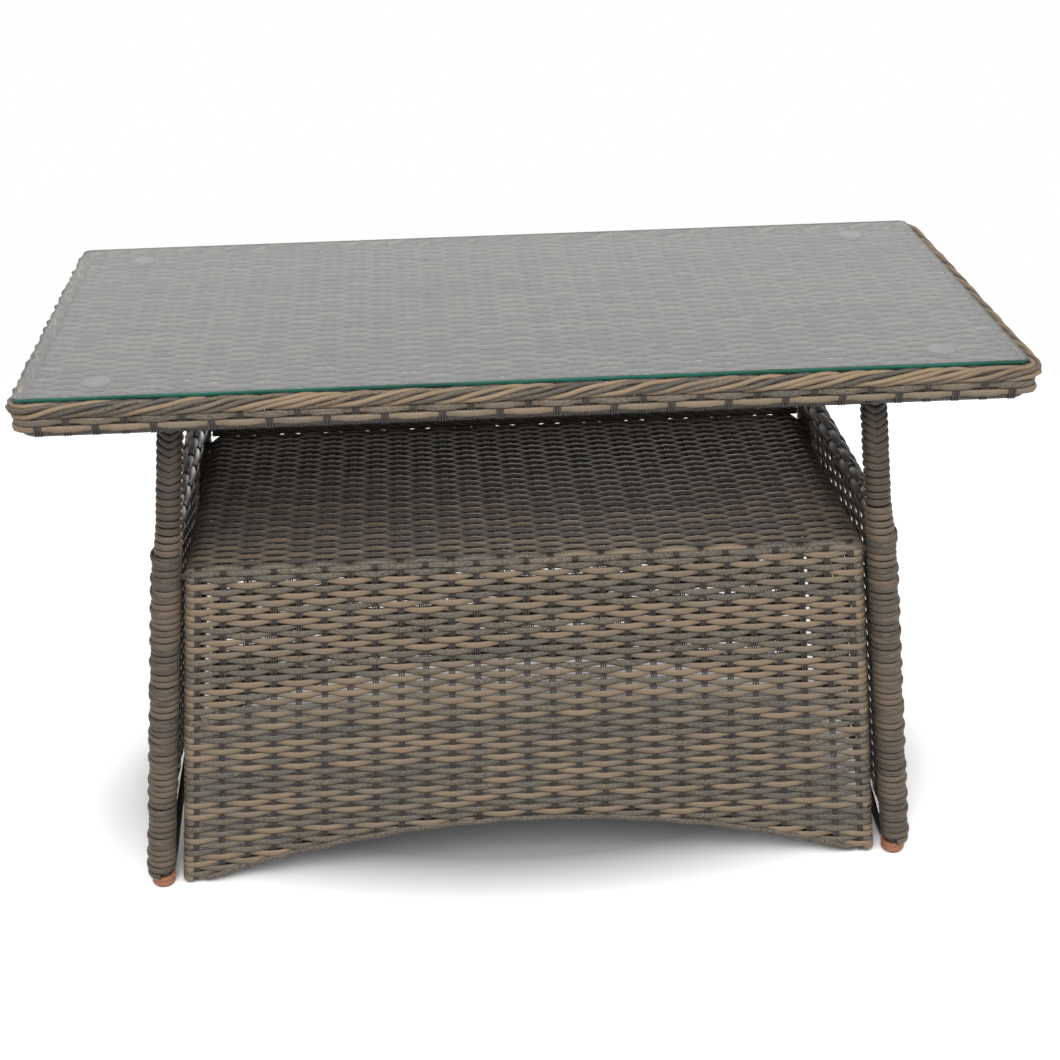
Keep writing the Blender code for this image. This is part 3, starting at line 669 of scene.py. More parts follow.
@dataclass
class PlainWeave:
    """Canes that pass over one stake and under the next on a given middle surface."""

    surface: Surface
    columns: Callable[[Grid, Grid], Grid]
    seed: int
    lift: float = 0.0023
    width: float = CANE_WIDTH
    thickness: float = CANE_THICK
    slimming: float = 0.0009
    narrowing: float = 0.0017
    swelling: float = 0.0
    filled: bool = False
    fullness: Callable[[Grid], Grid] | None = None
    section: Section = Section.CANE
    tan_share: float = 0.50
    parity_shift: int = 0

    def shades(self, rng: np.random.Generator, rows: int, floats: int) -> tuple[Grid, Grid]:
        """Pick the tone and fleck of each float.

        A row is mostly tan or mostly grey, and now and then it turns to the other for a while.

        Args:
            rng: Seeded source.
            rows: Number of rows.
            floats: Number of floats in a row.

        Returns:
            Tone and fleck, each of shape (rows, floats).
        """
        turns = np.cumsum(rng.random((rows, floats)) < 0.10, axis=1)
        tan = (turns + (rng.random((rows, 1)) < self.tan_share)) % 2 == 1
        tone = np.where(tan, rng.normal(0.80, 0.16, (rows, floats)),
                        rng.normal(0.22, 0.15, (rows, floats)))
        tone += rng.normal(0.0, 0.08, (rows, 1))
        fleck = np.where(tan, rng.uniform(0.0, 0.2, (rows, floats)),
                         rng.uniform(0.5, 1.0, (rows, floats)))
        return np.clip(tone, 0, 1), fleck

    def canes(self, rows: Grid, first: Grid, last: Grid, per_column: float,
              edge_lift: EdgeLift | None = None) -> Strip:
        """Lay one cane along each row.

        Formula: the cane stands off the middle surface by lift times the cosine of pi times
        (column + row), so it is outside at every second stake. Its width falls from full over a
        stake to less under the next, or swells at both where a skin has to be close. A filled
        weave's canes reach down to the middle surface where they are outside, so no light
        passes beside the stakes.

        Args:
            rows: Row numbers.
            first: Where each row starts, in metres along it.
            last: Where each row ends.
            per_column: Samples from one stake to the next.
            edge_lift: Optional change of the offset, given the distance along and the offset.

        Returns:
            The strip of canes.
        """
        rng = np.random.default_rng(self.seed)
        spacing = np.mean(np.abs(last - first))
        middle = self.columns(np.zeros((1, 1)) + 0.01, rows[None, :1])[0, 0] / 0.01
        samples = max(6, int(round(spacing * middle * per_column)) + 1)
        share = np.linspace(0.0, 1.0, samples)[None, :]
        along = first[:, None] + (last - first)[:, None] * share
        level = np.broadcast_to(rows[:, None], along.shape) + waver(rng, along, 0.31, 0.035)
        column = self.columns(along, level)
        parity = np.mod(np.round(rows) + self.parity_shift, 2)[:, None]
        wave = np.cos(math.pi * (column + parity))
        low = (1.0 - wave) / 2.0
        offset = self.lift * wave + waver(rng, along, 0.11, 0.00015)
        filling = 0.0
        if self.filled:
            filling = (2 * self.lift - self.thickness + 0.0002) * np.clip(wave, 0, 1)
            offset = offset - filling / 2
        if edge_lift is not None:
            offset = edge_lift(along, offset)
        size = self.width * (1 + waver(rng, along, 0.17, 0.02))
        if edge_lift is not None:
            low = low * smooth_step(0.0, 0.010, np.abs(along).max(1, keepdims=True)
                                    - np.abs(along) - 0.020)
        full = self.fullness(rows)[:, None] if self.fullness else 1.0
        size = size + self.swelling * full * wave ** 2
        size = size - self.slimming * low - self.narrowing * low ** 4
        points, outward = self.surface(along, level)
        each = np.floor((column - parity + 1) / 2).astype(int)
        each = each - each.min()
        tone, fleck = self.shades(rng, len(rows), each.max() + 1)
        line = np.arange(len(rows))[:, None]
        thick = self.thickness * (1 + 0.12 * low) + filling
        # Painted shade: the tone drops by up to 0.3 where a cane dips behind a stake, so the dips
        # come out greyer and darker as if shaded.
        scuff_and_painted_shade = tone[line, each] * (1 - 0.3 * low)
        return sweep(points + outward * offset[..., None], outward, self.section, size, thick,
                     scuff_and_painted_shade, fleck[line, each], seed=self.seed)

    def cut_canes(self, rows: Grid, reach: Grid, inner: Grid, ends: EdgeLift | None = None,
                  cut_ends: EdgeLift | None = None) -> list[Strip]:
        """Lay whole rows from side to side, and rows that an arch cuts as two halves.

        Args:
            rows: Row numbers.
            reach: How far each row runs from the middle.
            inner: How far from the middle the arch cuts each row, or 0.
            ends: Change of the offset for whole rows.
            cut_ends: Change of the offset for cut rows.

        Returns:
            The strip of whole rows, then those of the two sides' cut rows.
        """
        full = inner == 0
        strips = [self.canes(rows[full], -reach[full], reach[full], 6, ends)]
        for way in (-1, 1):
            strips.append(self.canes(rows[~full], way * reach[~full], way * inner[~full], 7,
                                     cut_ends))
        return strips

    def stakes(self, columns: Grid, first: Grid, last: Grid, per_row: float,
               place: Callable[[Grid, Grid], tuple[Grid, Grid]], sway: float = 0.0006,
               radius: float = STRAND_RADIUS) -> Strip:
        """Set a triple strand at each column, bowed outwards where the canes pass behind it.

        Formula: strand n of a stake stands (n - 1) gaps beside it, and its offset is minus sway
        times the cosine of pi times (column + row).

        Args:
            columns: Column numbers.
            first: Row number where each stake starts.
            last: Row number where it ends.
            per_row: Samples from one row to the next.
            place: Gives the distance along for (column, row).
            sway: How far a stake bows.
            radius: Radius of one strand.

        Returns:
            The strip of strands.
        """
        rng = np.random.default_rng(self.seed + 500)
        samples = max(4, int(round(np.max(np.abs(last - first)) * per_row)) + 1)
        level = first[:, None] + (last - first)[:, None] * np.linspace(0, 1, samples)[None, :]
        base = np.broadcast_to(columns[:, None], level.shape)
        along = place(base, level) + rng.normal(0, 0.0004, (len(columns), 1))
        along = along + waver(rng, level * PANEL_PITCH, 0.09, 0.0005)
        side = np.repeat(np.array([-1.0, 0.0, 1.0]) * STRAND_GAP, len(columns))[:, None]
        along, level = np.tile(along, (3, 1)) + side, np.tile(level, (3, 1))
        base = np.tile(base, (3, 1))
        points, outward = self.surface(along, level)
        offset = -sway * np.cos(math.pi * (base + level + self.parity_shift))
        tone = rng.uniform(0.4, 1.0, (len(base), 1))
        return sweep(points + outward * offset[..., None], outward, Section.STRAND,
                     2 * radius, 2 * radius, tone, 0.0, seed=self.seed + 1)


@dataclass
class LongPanel:
    """The front or back panel: level canes that turn round the posts, cut by an arch."""

    side: str
    finishes: Finishes
    first_row_z: float = PANEL_BOTTOM + PANEL_PITCH / 2
    droop: float = 0.0065
    turn_radius: float = 0.0083

    @property
    def sign(self) -> float:
        """Return -1 for the front and 1 for the back."""
        return SIGNS[self.side]

    def height(self, level: Grid, along: Grid) -> Grid:
        """Return a row's height: even steps, drooping to the sides in the lowest rows."""
        z = self.first_row_z + PANEL_PITCH * level
        side = np.clip(np.abs(along) / panel_half(z), 0, 1) ** 6
        return z - self.droop * side * smooth_step(0.16, 0.02, z) * smooth_step(0.0, 0.03, z)

    def surface(self, along: Grid, level: Grid) -> tuple[Grid, Grid]:
        """Return points and outward directions of the skin's middle surface.

        Formula: straight out to each post, then a circle round it; depth follows the panel's
        lean.

        Args:
            along: Distance from the middle of the row, in metres.
            level: Row number, whole on a row's centre line.

        Returns:
            Points and outward directions, each with a last axis of x, y, z.
        """
        z = self.height(level, along)
        flat = panel_half(z) - POST_INSET
        turn = np.clip((np.abs(along) - flat) / self.turn_radius, 0, 2.9)
        way = np.sign(along)
        x = way * (np.minimum(np.abs(along), flat) + self.turn_radius * np.sin(turn))
        depth = panel_face(z) - SKIN_MIDDLE - self.turn_radius * (1 - np.cos(turn))
        points = np.stack([x, self.sign * depth, z], -1)
        outward = np.stack([way * np.sin(turn), self.sign * np.cos(turn), 0 * z], -1)
        return points, outward

    def columns(self, along: Grid, level: Grid) -> Grid:
        """Return the column number at a distance along a row."""
        return along / column_pitch(self.first_row_z + PANEL_PITCH * level)

    def edge_lift(self, along: Grid, offset: Grid) -> Grid:
        """Hold the canes close round the posts."""
        outer = np.abs(along) - np.abs(along).max(1, keepdims=True) + 0.030
        held = smooth_step(0.0, 0.010, outer)
        return offset * (1 - held) + 0.0014 * held

    def tucked_lift(self, along: Grid, offset: Grid) -> Grid:
        """Hold the canes round the post at one end and behind the arch cane at the other."""
        inner = np.abs(along) - np.abs(along).min(1, keepdims=True)
        tuck = smooth_step(0.016, 0.0, inner)
        return self.edge_lift(along, offset) * (1 - tuck) - 0.0012 * tuck

    def build(self) -> None:
        """Make the panel's canes, its stakes and the cane along its arch."""
        front = self.sign < 0
        weave = PlainWeave(self.surface, self.columns, seed=11 if front else 12,
                           parity_shift=0 if front else 1)
        number = np.arange(PANEL_ROWS, dtype=float)
        z = self.first_row_z + PANEL_PITCH * number
        reach = panel_half(z) - POST_INSET + self.turn_radius * 2.6
        inner = arch_reach(z - 0.0062, ARCH_HALF, ARCH_RISE)
        strips = weave.cut_canes(number, reach, inner, self.edge_lift, self.tucked_lift)
        strips.append(self.arch_cane())
        add_piece(f"{self.side}_panel_canes", strips, self.finishes.woven, Body.TABLE,
                  (f"{self.side}_panel_weave",))
        foot_x = PANEL_COLUMNS * column_pitch(0.05)
        start = arch_height(foot_x, ARCH_HALF, ARCH_RISE) + STAKE_CLEARANCE - self.first_row_z
        top = np.full(len(PANEL_COLUMNS), (NOSE_Z - self.first_row_z) / PANEL_PITCH)
        stakes = weave.stakes(
            PANEL_COLUMNS, start / PANEL_PITCH, top, 2.0,
            lambda c, r: c * column_pitch(self.first_row_z + PANEL_PITCH * r))
        add_piece(f"{self.side}_panel_stakes", [stakes], self.finishes.stake, Body.TABLE)

    def arch_cane(self) -> Strip:
        """Lay the last cane along the arch, over the ends of the cut rows."""
        angle = np.linspace(-1, 1, 150)[None, :]
        x = angle * (ARCH_HALF + 0.008)
        z = arch_height(x, ARCH_HALF, ARCH_RISE) + ARCH_CANE_RISE
        lift = arch_lift(x, column_pitch(z))
        points = np.stack([x, self.sign * (panel_face(z) - SKIN_MIDDLE + lift), z], -1)
        outward = np.broadcast_to(np.array([0.0, self.sign, 0.0]), points.shape)
        return sweep(points, outward, Section.CANE, 0.0082, CANE_THICK, 0.2, 0.9, seed=3)


@dataclass
class Shelf:
    """The woven shelf and the rounded edges where it turns down into the long panels."""

    finishes: Finishes
    rows: int = SHELF_ROWS + 2 * NOSE_ROWS
    nose_radius: float = 0.0085
    end_rod_x: float = 0.3850
    turn_radius: float = 0.0108
    border_y: float = FACE_Y - 0.0085
    border_radius: float = 0.0036
    border_lays: int = 9

    def profile(self, level: Grid) -> tuple[Grid, Grid, Grid, Grid]:
        """Return y, z and the outward y, z of the skin's middle line at a row number.

        Formula: two rows on a quarter circle over the front edge, 48 level rows, and two rows
        on a quarter circle down the back edge.

        Args:
            level: Row number, from 0 at the front nose to rows - 1 at the back.

        Returns:
            Depth, height and the two parts of the outward direction.
        """
        way = level + 0.5
        front = np.clip(way / NOSE_ROWS, 0, 1)
        back = np.clip((way - NOSE_ROWS - SHELF_ROWS) / NOSE_ROWS, 0, 1)
        turn = (front + back - 1) * math.pi / 2
        middle = np.clip((way - NOSE_ROWS) / SHELF_ROWS, 0, 1) * 2 - 1
        y = middle * (FACE_Y - 0.012) + self.nose_radius * np.sin(turn)
        z = NOSE_Z + self.nose_radius * np.cos(turn)
        return y, z, np.sin(turn), np.cos(turn)

    def surface(self, along: Grid, level: Grid) -> tuple[Grid, Grid]:
        """Return points and outward directions of the shelf's middle surface.

        Formula: the profile carried along X, rolled down round the end rods at both sides.

        Args:
            along: Distance from the middle of the row, in metres.
            level: Row number.

        Returns:
            Points and outward directions.
        """
        y, z, out_y, out_z = self.profile(level)
        turn = np.clip((np.abs(along) - self.end_rod_x) / self.turn_radius, 0, 2.4)
        way = np.sign(along)
        x = way * (np.minimum(np.abs(along), self.end_rod_x) + self.turn_radius * np.sin(turn))
        drop = self.turn_radius * (1 - np.cos(turn))
        points = np.stack([x, y - out_y * drop, z - out_z * drop], -1)
        outward = np.stack([way * np.sin(turn), out_y * np.cos(turn), out_z * np.cos(turn)], -1)
        return points, outward

    def fullness(self, level: Grid) -> Grid:
        """Return how far the rows swell: less on the rounded front edge than on the flat."""
        return 0.3 + 0.7 * smooth_step(1.5, 5.0, level)

    def edge_lift(self, along: Grid, offset: Grid) -> Grid:
        """Draw the canes in round the end rods."""
        held = smooth_step(self.end_rod_x - 0.006, self.end_rod_x + 0.004, np.abs(along))
        return offset * (1 - held) - 0.0022 * held

    def build(self) -> None:
        """Make the shelf's canes and stakes."""
        pitch = column_pitch(NOSE_Z)
        number = np.arange(self.rows, dtype=float)
        weave = PlainWeave(self.surface, lambda s, r: s / pitch, seed=21, lift=0.0023,
                           width=0.0073, thickness=0.0025, slimming=0.0, narrowing=0.0,
                           swelling=0.0020, filled=True, section=Section.FULL_CANE,
                           tan_share=0.32, fullness=self.fullness, parity_shift=PANEL_ROWS)
        reach = np.full(self.rows, self.end_rod_x + self.turn_radius * 2.1)
        nose = (number < NOSE_ROWS) | (number >= self.rows - NOSE_ROWS)
        flat = weave.canes(number[~nose], -reach[~nose], reach[~nose], 6, self.edge_lift)
        # Painted shade: the level rows take the darker shelf copy of the cane.
        add_piece("shelf_canes", [flat], self.finishes.shelf, Body.TABLE,
                  ("shelf_weave",))
        edges = weave.canes(number[nose], -reach[nose], reach[nose], 6, self.edge_lift)
        add_piece("shelf_nose_canes", [edges], self.finishes.woven, Body.TABLE)
        start = np.full(len(PANEL_COLUMNS), -0.55)
        stakes = weave.stakes(PANEL_COLUMNS, start, start + self.rows + 0.10, 2.0,
                              lambda c, r: c * pitch)
        add_piece("shelf_stakes", [stakes], self.finishes.stake, Body.TABLE)
        # Painted shade: the border takes the darker copy of the wound cane.
        add_piece("shelf_border", [self.border(), self.border_core()], self.finishes.wound_painted_shade,
                  Body.TABLE)

    def border(self) -> Strip:
        """Twist four canes into the low border on the shelf's back edge.

        Formula: strand k turns about a level line at 2 pi (lays times share + k / 4).

        Returns:
            The four strands.
        """
        share = np.linspace(0, 1, 240)[None, :]
        turn = 2 * math.pi * (self.border_lays * share - np.arange(4)[:, None] / 4)
        x = (share * 2 - 1) * (self.end_rod_x + 0.0080) + 0 * turn
        y = self.border_y + self.border_radius * np.cos(turn)
        z = SHELF_TOP + 0.0034 + self.border_radius * np.sin(turn)
        outward = np.stack([0 * turn, np.cos(turn), np.sin(turn)], -1)
        tone = np.array([[0.3], [0.8], [0.2], [0.7]])
        return sweep(np.stack([x, y, z], -1), outward, Section.ROPE, 0.0064, 0.0052, tone,
                     1.0 - tone, seed=22)

    def border_core(self) -> Strip:
        """Run the straight core inside the border, down to the shelf's canes."""
        x = np.linspace(-1, 1, 40)[None, :] * (self.end_rod_x + 0.0070)
        points = np.stack([x, 0 * x + self.border_y, 0 * x + SHELF_TOP + 0.0016], -1)
        outward = np.broadcast_to(np.array([0.0, 0.0, 1.0]), points.shape)
        return sweep(points, outward, Section.STRAND, 0.0072, 0.0084, 0.2, 0.5, seed=23)


@dataclass
class EndPanel:
    """One end: the panel in the plane of the legs and the woven rail above it."""

    side: str
    finishes: Finishes
    first_row_z: float = PANEL_BOTTOM + END_PITCH / 2
    columns_half: int = 6
    pitch: float = 0.0290
    reach: float = 0.1880
    rail_radius: float = 0.0113
    rail_reach: float = 0.1865
    rail_rows: int = 6
    rib_reach: float = 0.1830
    rib_pitch: float = 0.0044
    rib_radius: float = 0.0108

    @property
    def sign(self) -> float:
        """Return -1 for the left end and 1 for the right end."""
        return SIGNS[self.side]

    def surface(self, along: Grid, level: Grid) -> tuple[Grid, Grid]:
        """Return points and outward directions of the panel's middle surface, which leans out."""
        z = self.first_row_z + END_PITCH * level
        points = np.stack([self.sign * leg_x(z), along, z], -1)
        lean = np.array([self.sign, 0.0, LEG_SPLAY])
        return points, np.broadcast_to(unit(lean), points.shape)

    def rail_surface(self, along: Grid, level: Grid) -> tuple[Grid, Grid]:
        """Return points and outward directions round the rail.

        Formula: a circle about the rail's axis; row 0 is low on the outer side and each row
        turns 42 degrees further over the top.

        Args:
            along: Distance along Y.
            level: Row number on the rail.

        Returns:
            Points and outward directions.
        """
        turn = np.radians(205.0 - 42.0 * level)
        way = -self.sign
        out = np.stack([way * np.cos(turn), 0 * turn, np.sin(turn)], -1)
        middle = np.stack([np.full_like(along, self.sign * leg_x(RAIL_Z)), along,
                           np.full_like(along, RAIL_Z)], -1)
        return middle + out * self.rail_radius, out

    def build(self) -> None:
        """Make the panel's canes and stakes, then the rail's canes, stakes and ribs."""
        seed = 31 if self.sign < 0 else 32
        weave = PlainWeave(self.surface, lambda s, r: s / self.pitch, seed=seed, filled=True)
        number = np.arange(END_ROWS, dtype=float)
        z = self.first_row_z + END_PITCH * number
        inner = arch_reach(z - 0.0060, END_ARCH_HALF, END_ARCH_RISE)
        strips = weave.cut_canes(number, np.full(END_ROWS, self.reach), inner)
        strips.append(self.arch_cane())
        add_piece(f"side_panel_canes_{self.side}", strips, self.finishes.woven, Body.TABLE,
                  (f"side_panel_weave_{self.side}",))
        column = np.arange(-self.columns_half, self.columns_half + 1, dtype=float)
        start = arch_height(column * self.pitch, END_ARCH_HALF, END_ARCH_RISE)
        start = (start + STAKE_CLEARANCE - self.first_row_z) / END_PITCH
        top = np.full(len(column), (END_TOP - self.first_row_z) / END_PITCH)
        stakes = weave.stakes(column, start, top, 2.0, lambda c, r: c * self.pitch)
        add_piece(f"side_panel_stakes_{self.side}", [stakes], self.finishes.stake, Body.TABLE)
        rail = PlainWeave(self.rail_surface, lambda s, r: s / self.pitch, seed=seed + 10,
                          lift=0.0012, width=0.0104, narrowing=0.0030)
        level = np.arange(self.rail_rows, dtype=float)
        far = np.full(self.rail_rows, self.rail_reach)
        rows = rail.canes(level, -far, far, 8)
        first = np.full(len(column), -0.6)
        over = rail.stakes(column, first, self.rail_rows - 1 - first, 4.0,
                           lambda c, r: c * self.pitch, 0.0008)
        # Painted shade: the rail canes take the darker copy of the wound cane.
        add_piece(f"side_rail_canes_{self.side}", [rows], self.finishes.wound_painted_shade, Body.TABLE,
                  (f"side_rail_wrap_{self.side}",))
        add_piece(f"side_rail_ribs_{self.side}", [over, self.ribs()], self.finishes.stake,
                  Body.TABLE)

    def ribs(self) -> Strip:
        """Lay fine ribs round the lower side of the rail."""
        y = np.arange(-self.rib_reach, self.rib_reach + 0.0001, self.rib_pitch)[:, None]
        turn = np.radians(np.linspace(-15.0, -150.0, 7))[None, :]
        turn = np.broadcast_to(turn, (len(y), 7))
        along = np.broadcast_to(y, turn.shape)
        way = -self.sign
        out = np.stack([way * np.cos(turn), 0 * turn, np.sin(turn)], -1)
        middle = np.stack([np.full_like(turn, self.sign * leg_x(RAIL_Z)), along,
                           np.full_like(turn, RAIL_Z)], -1)
        return sweep(middle + out * self.rib_radius, out, Section.PLAIN_CANE, 0.0042, 0.0026,
                     0.5, 0.0, seed=7)

    def arch_cane(self) -> Strip:
        """Lay the last cane along the arch, over the ends of the cut rows."""
        y = np.linspace(-self.reach, self.reach, 90)[None, :]
        z = arch_height(y, END_ARCH_HALF, END_ARCH_RISE) + ARCH_CANE_RISE
        lift = arch_lift(y, self.pitch)
        points = np.stack([self.sign * (leg_x(z) + lift), y, z], -1)
        outward = np.broadcast_to(np.array([self.sign, 0.0, 0.0]), points.shape)
        return sweep(points, outward, Section.CANE, 0.0082, CANE_THICK, 0.25, 0.8, seed=4)


# ------------------------------------------------------------------ legs
@dataclass
class Leg:
    """One leg: the upper winding, the fuller lower winding, its stray arcs and the foot cap."""

    depth: str
    side: str
    finishes: Finishes
    upper_pitch: float = 0.0093
    upper_radius: float = 0.0130
    upper_dip: float = 0.0070
    upper_width: float = 0.0086
    lower_pitch: float = 0.0085
    lower_radius: float = 0.0137
    lower_growth: float = 0.0013
    lower_shift: float = 0.0018
    lower_width: float = 0.0082
    arcs: int = 19
    arc_radius: float = 0.0163

    @property
    def tag(self) -> str:
        """Return the corner's name as the CAD nodes spell it."""
        return f"{self.depth}_{self.side}"

    def winding(self, low: float, high: float, pitch: float, radius: Callable[[Grid], Grid],
                dip: Callable[[Grid], Grid], shift: Callable[[Grid], Grid], width: float,
                seed: int, per_turn: int = 26) -> Strip:
        """Wind one cane round the leg.

        Formula: a climbing coil about the splayed centre line. It climbs mostly at the back of
        the leg, so its front lies nearly level, and the dip pulls its front down to a point.

        Args:
            low: Height of the first turn.
            high: Height of the last turn.
            pitch: Climb in one turn.
            radius: Function of height giving the coil's radius.
            dip: Function of height giving how far the front is pulled down.
            shift: Function of height giving how far the coil's centre stands outside the leg's.
            width: Width of the cane.
            seed: Seed of the wander and the shades.
            per_turn: Samples in one turn.

        Returns:
            The strip with one long cane.
        """
        rng = np.random.default_rng(seed)
        turns = (high - low) / pitch
        share = np.linspace(0.0, turns, int(turns * per_turn))[None, :]
        angle = 2 * math.pi * share
        climb = share - 0.62 * np.sin(angle) / (2 * math.pi)
        z = low + pitch * climb + waver(rng, share * 0.06, 0.31, 0.0005)
        front, outer = SIGNS[self.depth], SIGNS[self.side]
        u, v = np.sin(angle), np.cos(angle)
        size = radius(z) + waver(rng, share * 0.06, 0.17, 0.0003)
        x = outer * (leg_x(z) + shift(z)) + size * u * outer
        y = front * LEG_Y + size * v * front
        z = z - dip(z) * np.clip(1 - 1.15 * np.abs(u), 0, 1) * (v > 0)
        turn = np.floor(share + 0.5).astype(int)
        tan = (np.cumsum(rng.random(turn.max() + 2) < 0.3)) % 2 == 0
        tone = np.where(tan, 0.85, 0.30) + rng.normal(0, 0.10, len(tan))
        fleck = np.where(tan, 0.08, rng.uniform(0.45, 0.95, len(tan)))
        points = np.stack([x, y, z], -1)
        out = unit(np.stack([u * outer, v * front, 0 * z], -1))
        return sweep(points, out, Section.ROPE, width, 0.0046, np.clip(tone, 0, 1)[turn],
                     fleck[turn], seed=seed)

    def stray_arcs(self, seed: int) -> Strip:
        """Lay second canes that sweep down over a few turns from the outer side.

        Formula: each arc turns about the leg from its outer back to its inner front, sinks
        about 11 mm, and stands proud most at the outer side.

        Args:
            seed: Seed of the heights.

        Returns:
            The strip of arcs.
        """
        rng = np.random.default_rng(seed)
        count = self.arcs
        start = np.linspace(0.035, 0.455, count) + rng.uniform(-0.010, 0.010, count)
        turn = np.radians(np.linspace(150.0, -78.0, 18))[None, :]
        share = np.linspace(0, 1, 18)[None, :]
        drop = rng.uniform(0.007, 0.013, count)[:, None]
        z = start[:, None] + drop * (0.5 - smooth_step(0.0, 0.75, share))
        bulge = 0.0020 * np.sin(math.pi * np.clip(share * 1.25, 0, 1)) - 0.0012 * share
        radius = self.arc_radius + bulge
        outer, front = SIGNS[self.side], SIGNS[self.depth]
        x = outer * (leg_x(z) + self.lower_shift + radius * np.sin(turn))
        y = front * (LEG_Y + radius * np.cos(turn)) + 0 * z
        points = np.stack([x, y, z], -1)
        out = np.stack([outer * np.sin(turn), front * np.cos(turn), 0 * turn], -1)
        out = np.broadcast_to(out, points.shape)
        return sweep(points, out, Section.CANE, 0.0076, 0.0028,
                     rng.uniform(0.2, 0.95, (count, 1)), rng.uniform(0.0, 0.9, (count, 1)),
                     seed=seed)

    def foot(self) -> Strip:
        """Turn the foot cap: rounded sole, finely ribbed band, groove and collar.

        Formula: a profile of radius and height turned about the leg's foot; inside the band the
        radius gains a rib's depth times the cosine of 36 times the angle.

        Returns:
            One strip closed round the foot, with its sole and top capped.
        """
        profile = np.array([(0.0040, 0.0), (0.0098, 0.0002), (0.0115, 0.0009), (0.0127, 0.0022),
                            (0.0136, 0.0040), (0.0139, 0.0052), (0.0139, 0.0096),
                            (0.0133, 0.0101), (0.0133, 0.0113), (0.0143, 0.0117),
                            (0.0149, 0.0122), (0.0150, 0.0132), (0.0150, 0.0146),
                            (0.0145, 0.0151), (0.0090, 0.0151)])
        count = 144
        angle = np.linspace(0, 2 * math.pi, count, endpoint=False)[:, None]
        band = ((profile[:, 1] > 0.0030) & (profile[:, 1] < 0.0099)).astype(float)
        radius = profile[None, :, 0] + 0.0003 * band[None, :] * np.cos(36 * angle)
        x = SIGNS[self.side] * leg_x(FOOT_TOP) + radius * np.cos(angle)
        y = SIGNS[self.depth] * LEG_Y + radius * np.sin(angle)
        return ring_solid(x.T, y.T, profile[:, 1:])

    def build(self) -> None:
        """Make the leg's two windings, its stray arcs and its foot cap."""
        seed = 40 + 2 * ("front", "back").index(self.depth) + ("left", "right").index(self.side)
        upper = self.winding(
            LOWER_TOP - 0.0060, LEG_TOP - 0.0030, self.upper_pitch,
            lambda z: self.upper_radius + 0 * z,
            lambda z: self.upper_dip * smooth_step(0.500, 0.600, z), lambda z: 0 * z,
            self.upper_width, seed)
        # Painted shade: the upper winding takes the darker copy of the wound cane, for the shade
        # under the rim.
        add_piece(f"leg_winding_upper_{self.tag}", [upper], self.finishes.wound_painted_shade, Body.TABLE,
                  (f"leg_wrap_upper_{self.tag}",))
        lower = self.winding(
            FOOT_TOP + 0.0045, LOWER_TOP - 0.0010, self.lower_pitch,
            lambda z: self.lower_radius + self.lower_growth * smooth_step(0.480, 0.440, z),
            lambda z: 0 * z, lambda z: self.lower_shift * smooth_step(0.480, 0.430, z),
            self.lower_width, seed + 10)
        add_piece(f"leg_winding_lower_{self.tag}", [lower, self.stray_arcs(seed + 20)],
                  self.finishes.wound, Body.TABLE,
                  (f"leg_wrap_lower_{self.tag}",))
        add_piece(f"foot_{self.tag}", [self.foot()], self.finishes.foot, Body.TABLE,
                  (f"foot_cap_{self.tag}",))


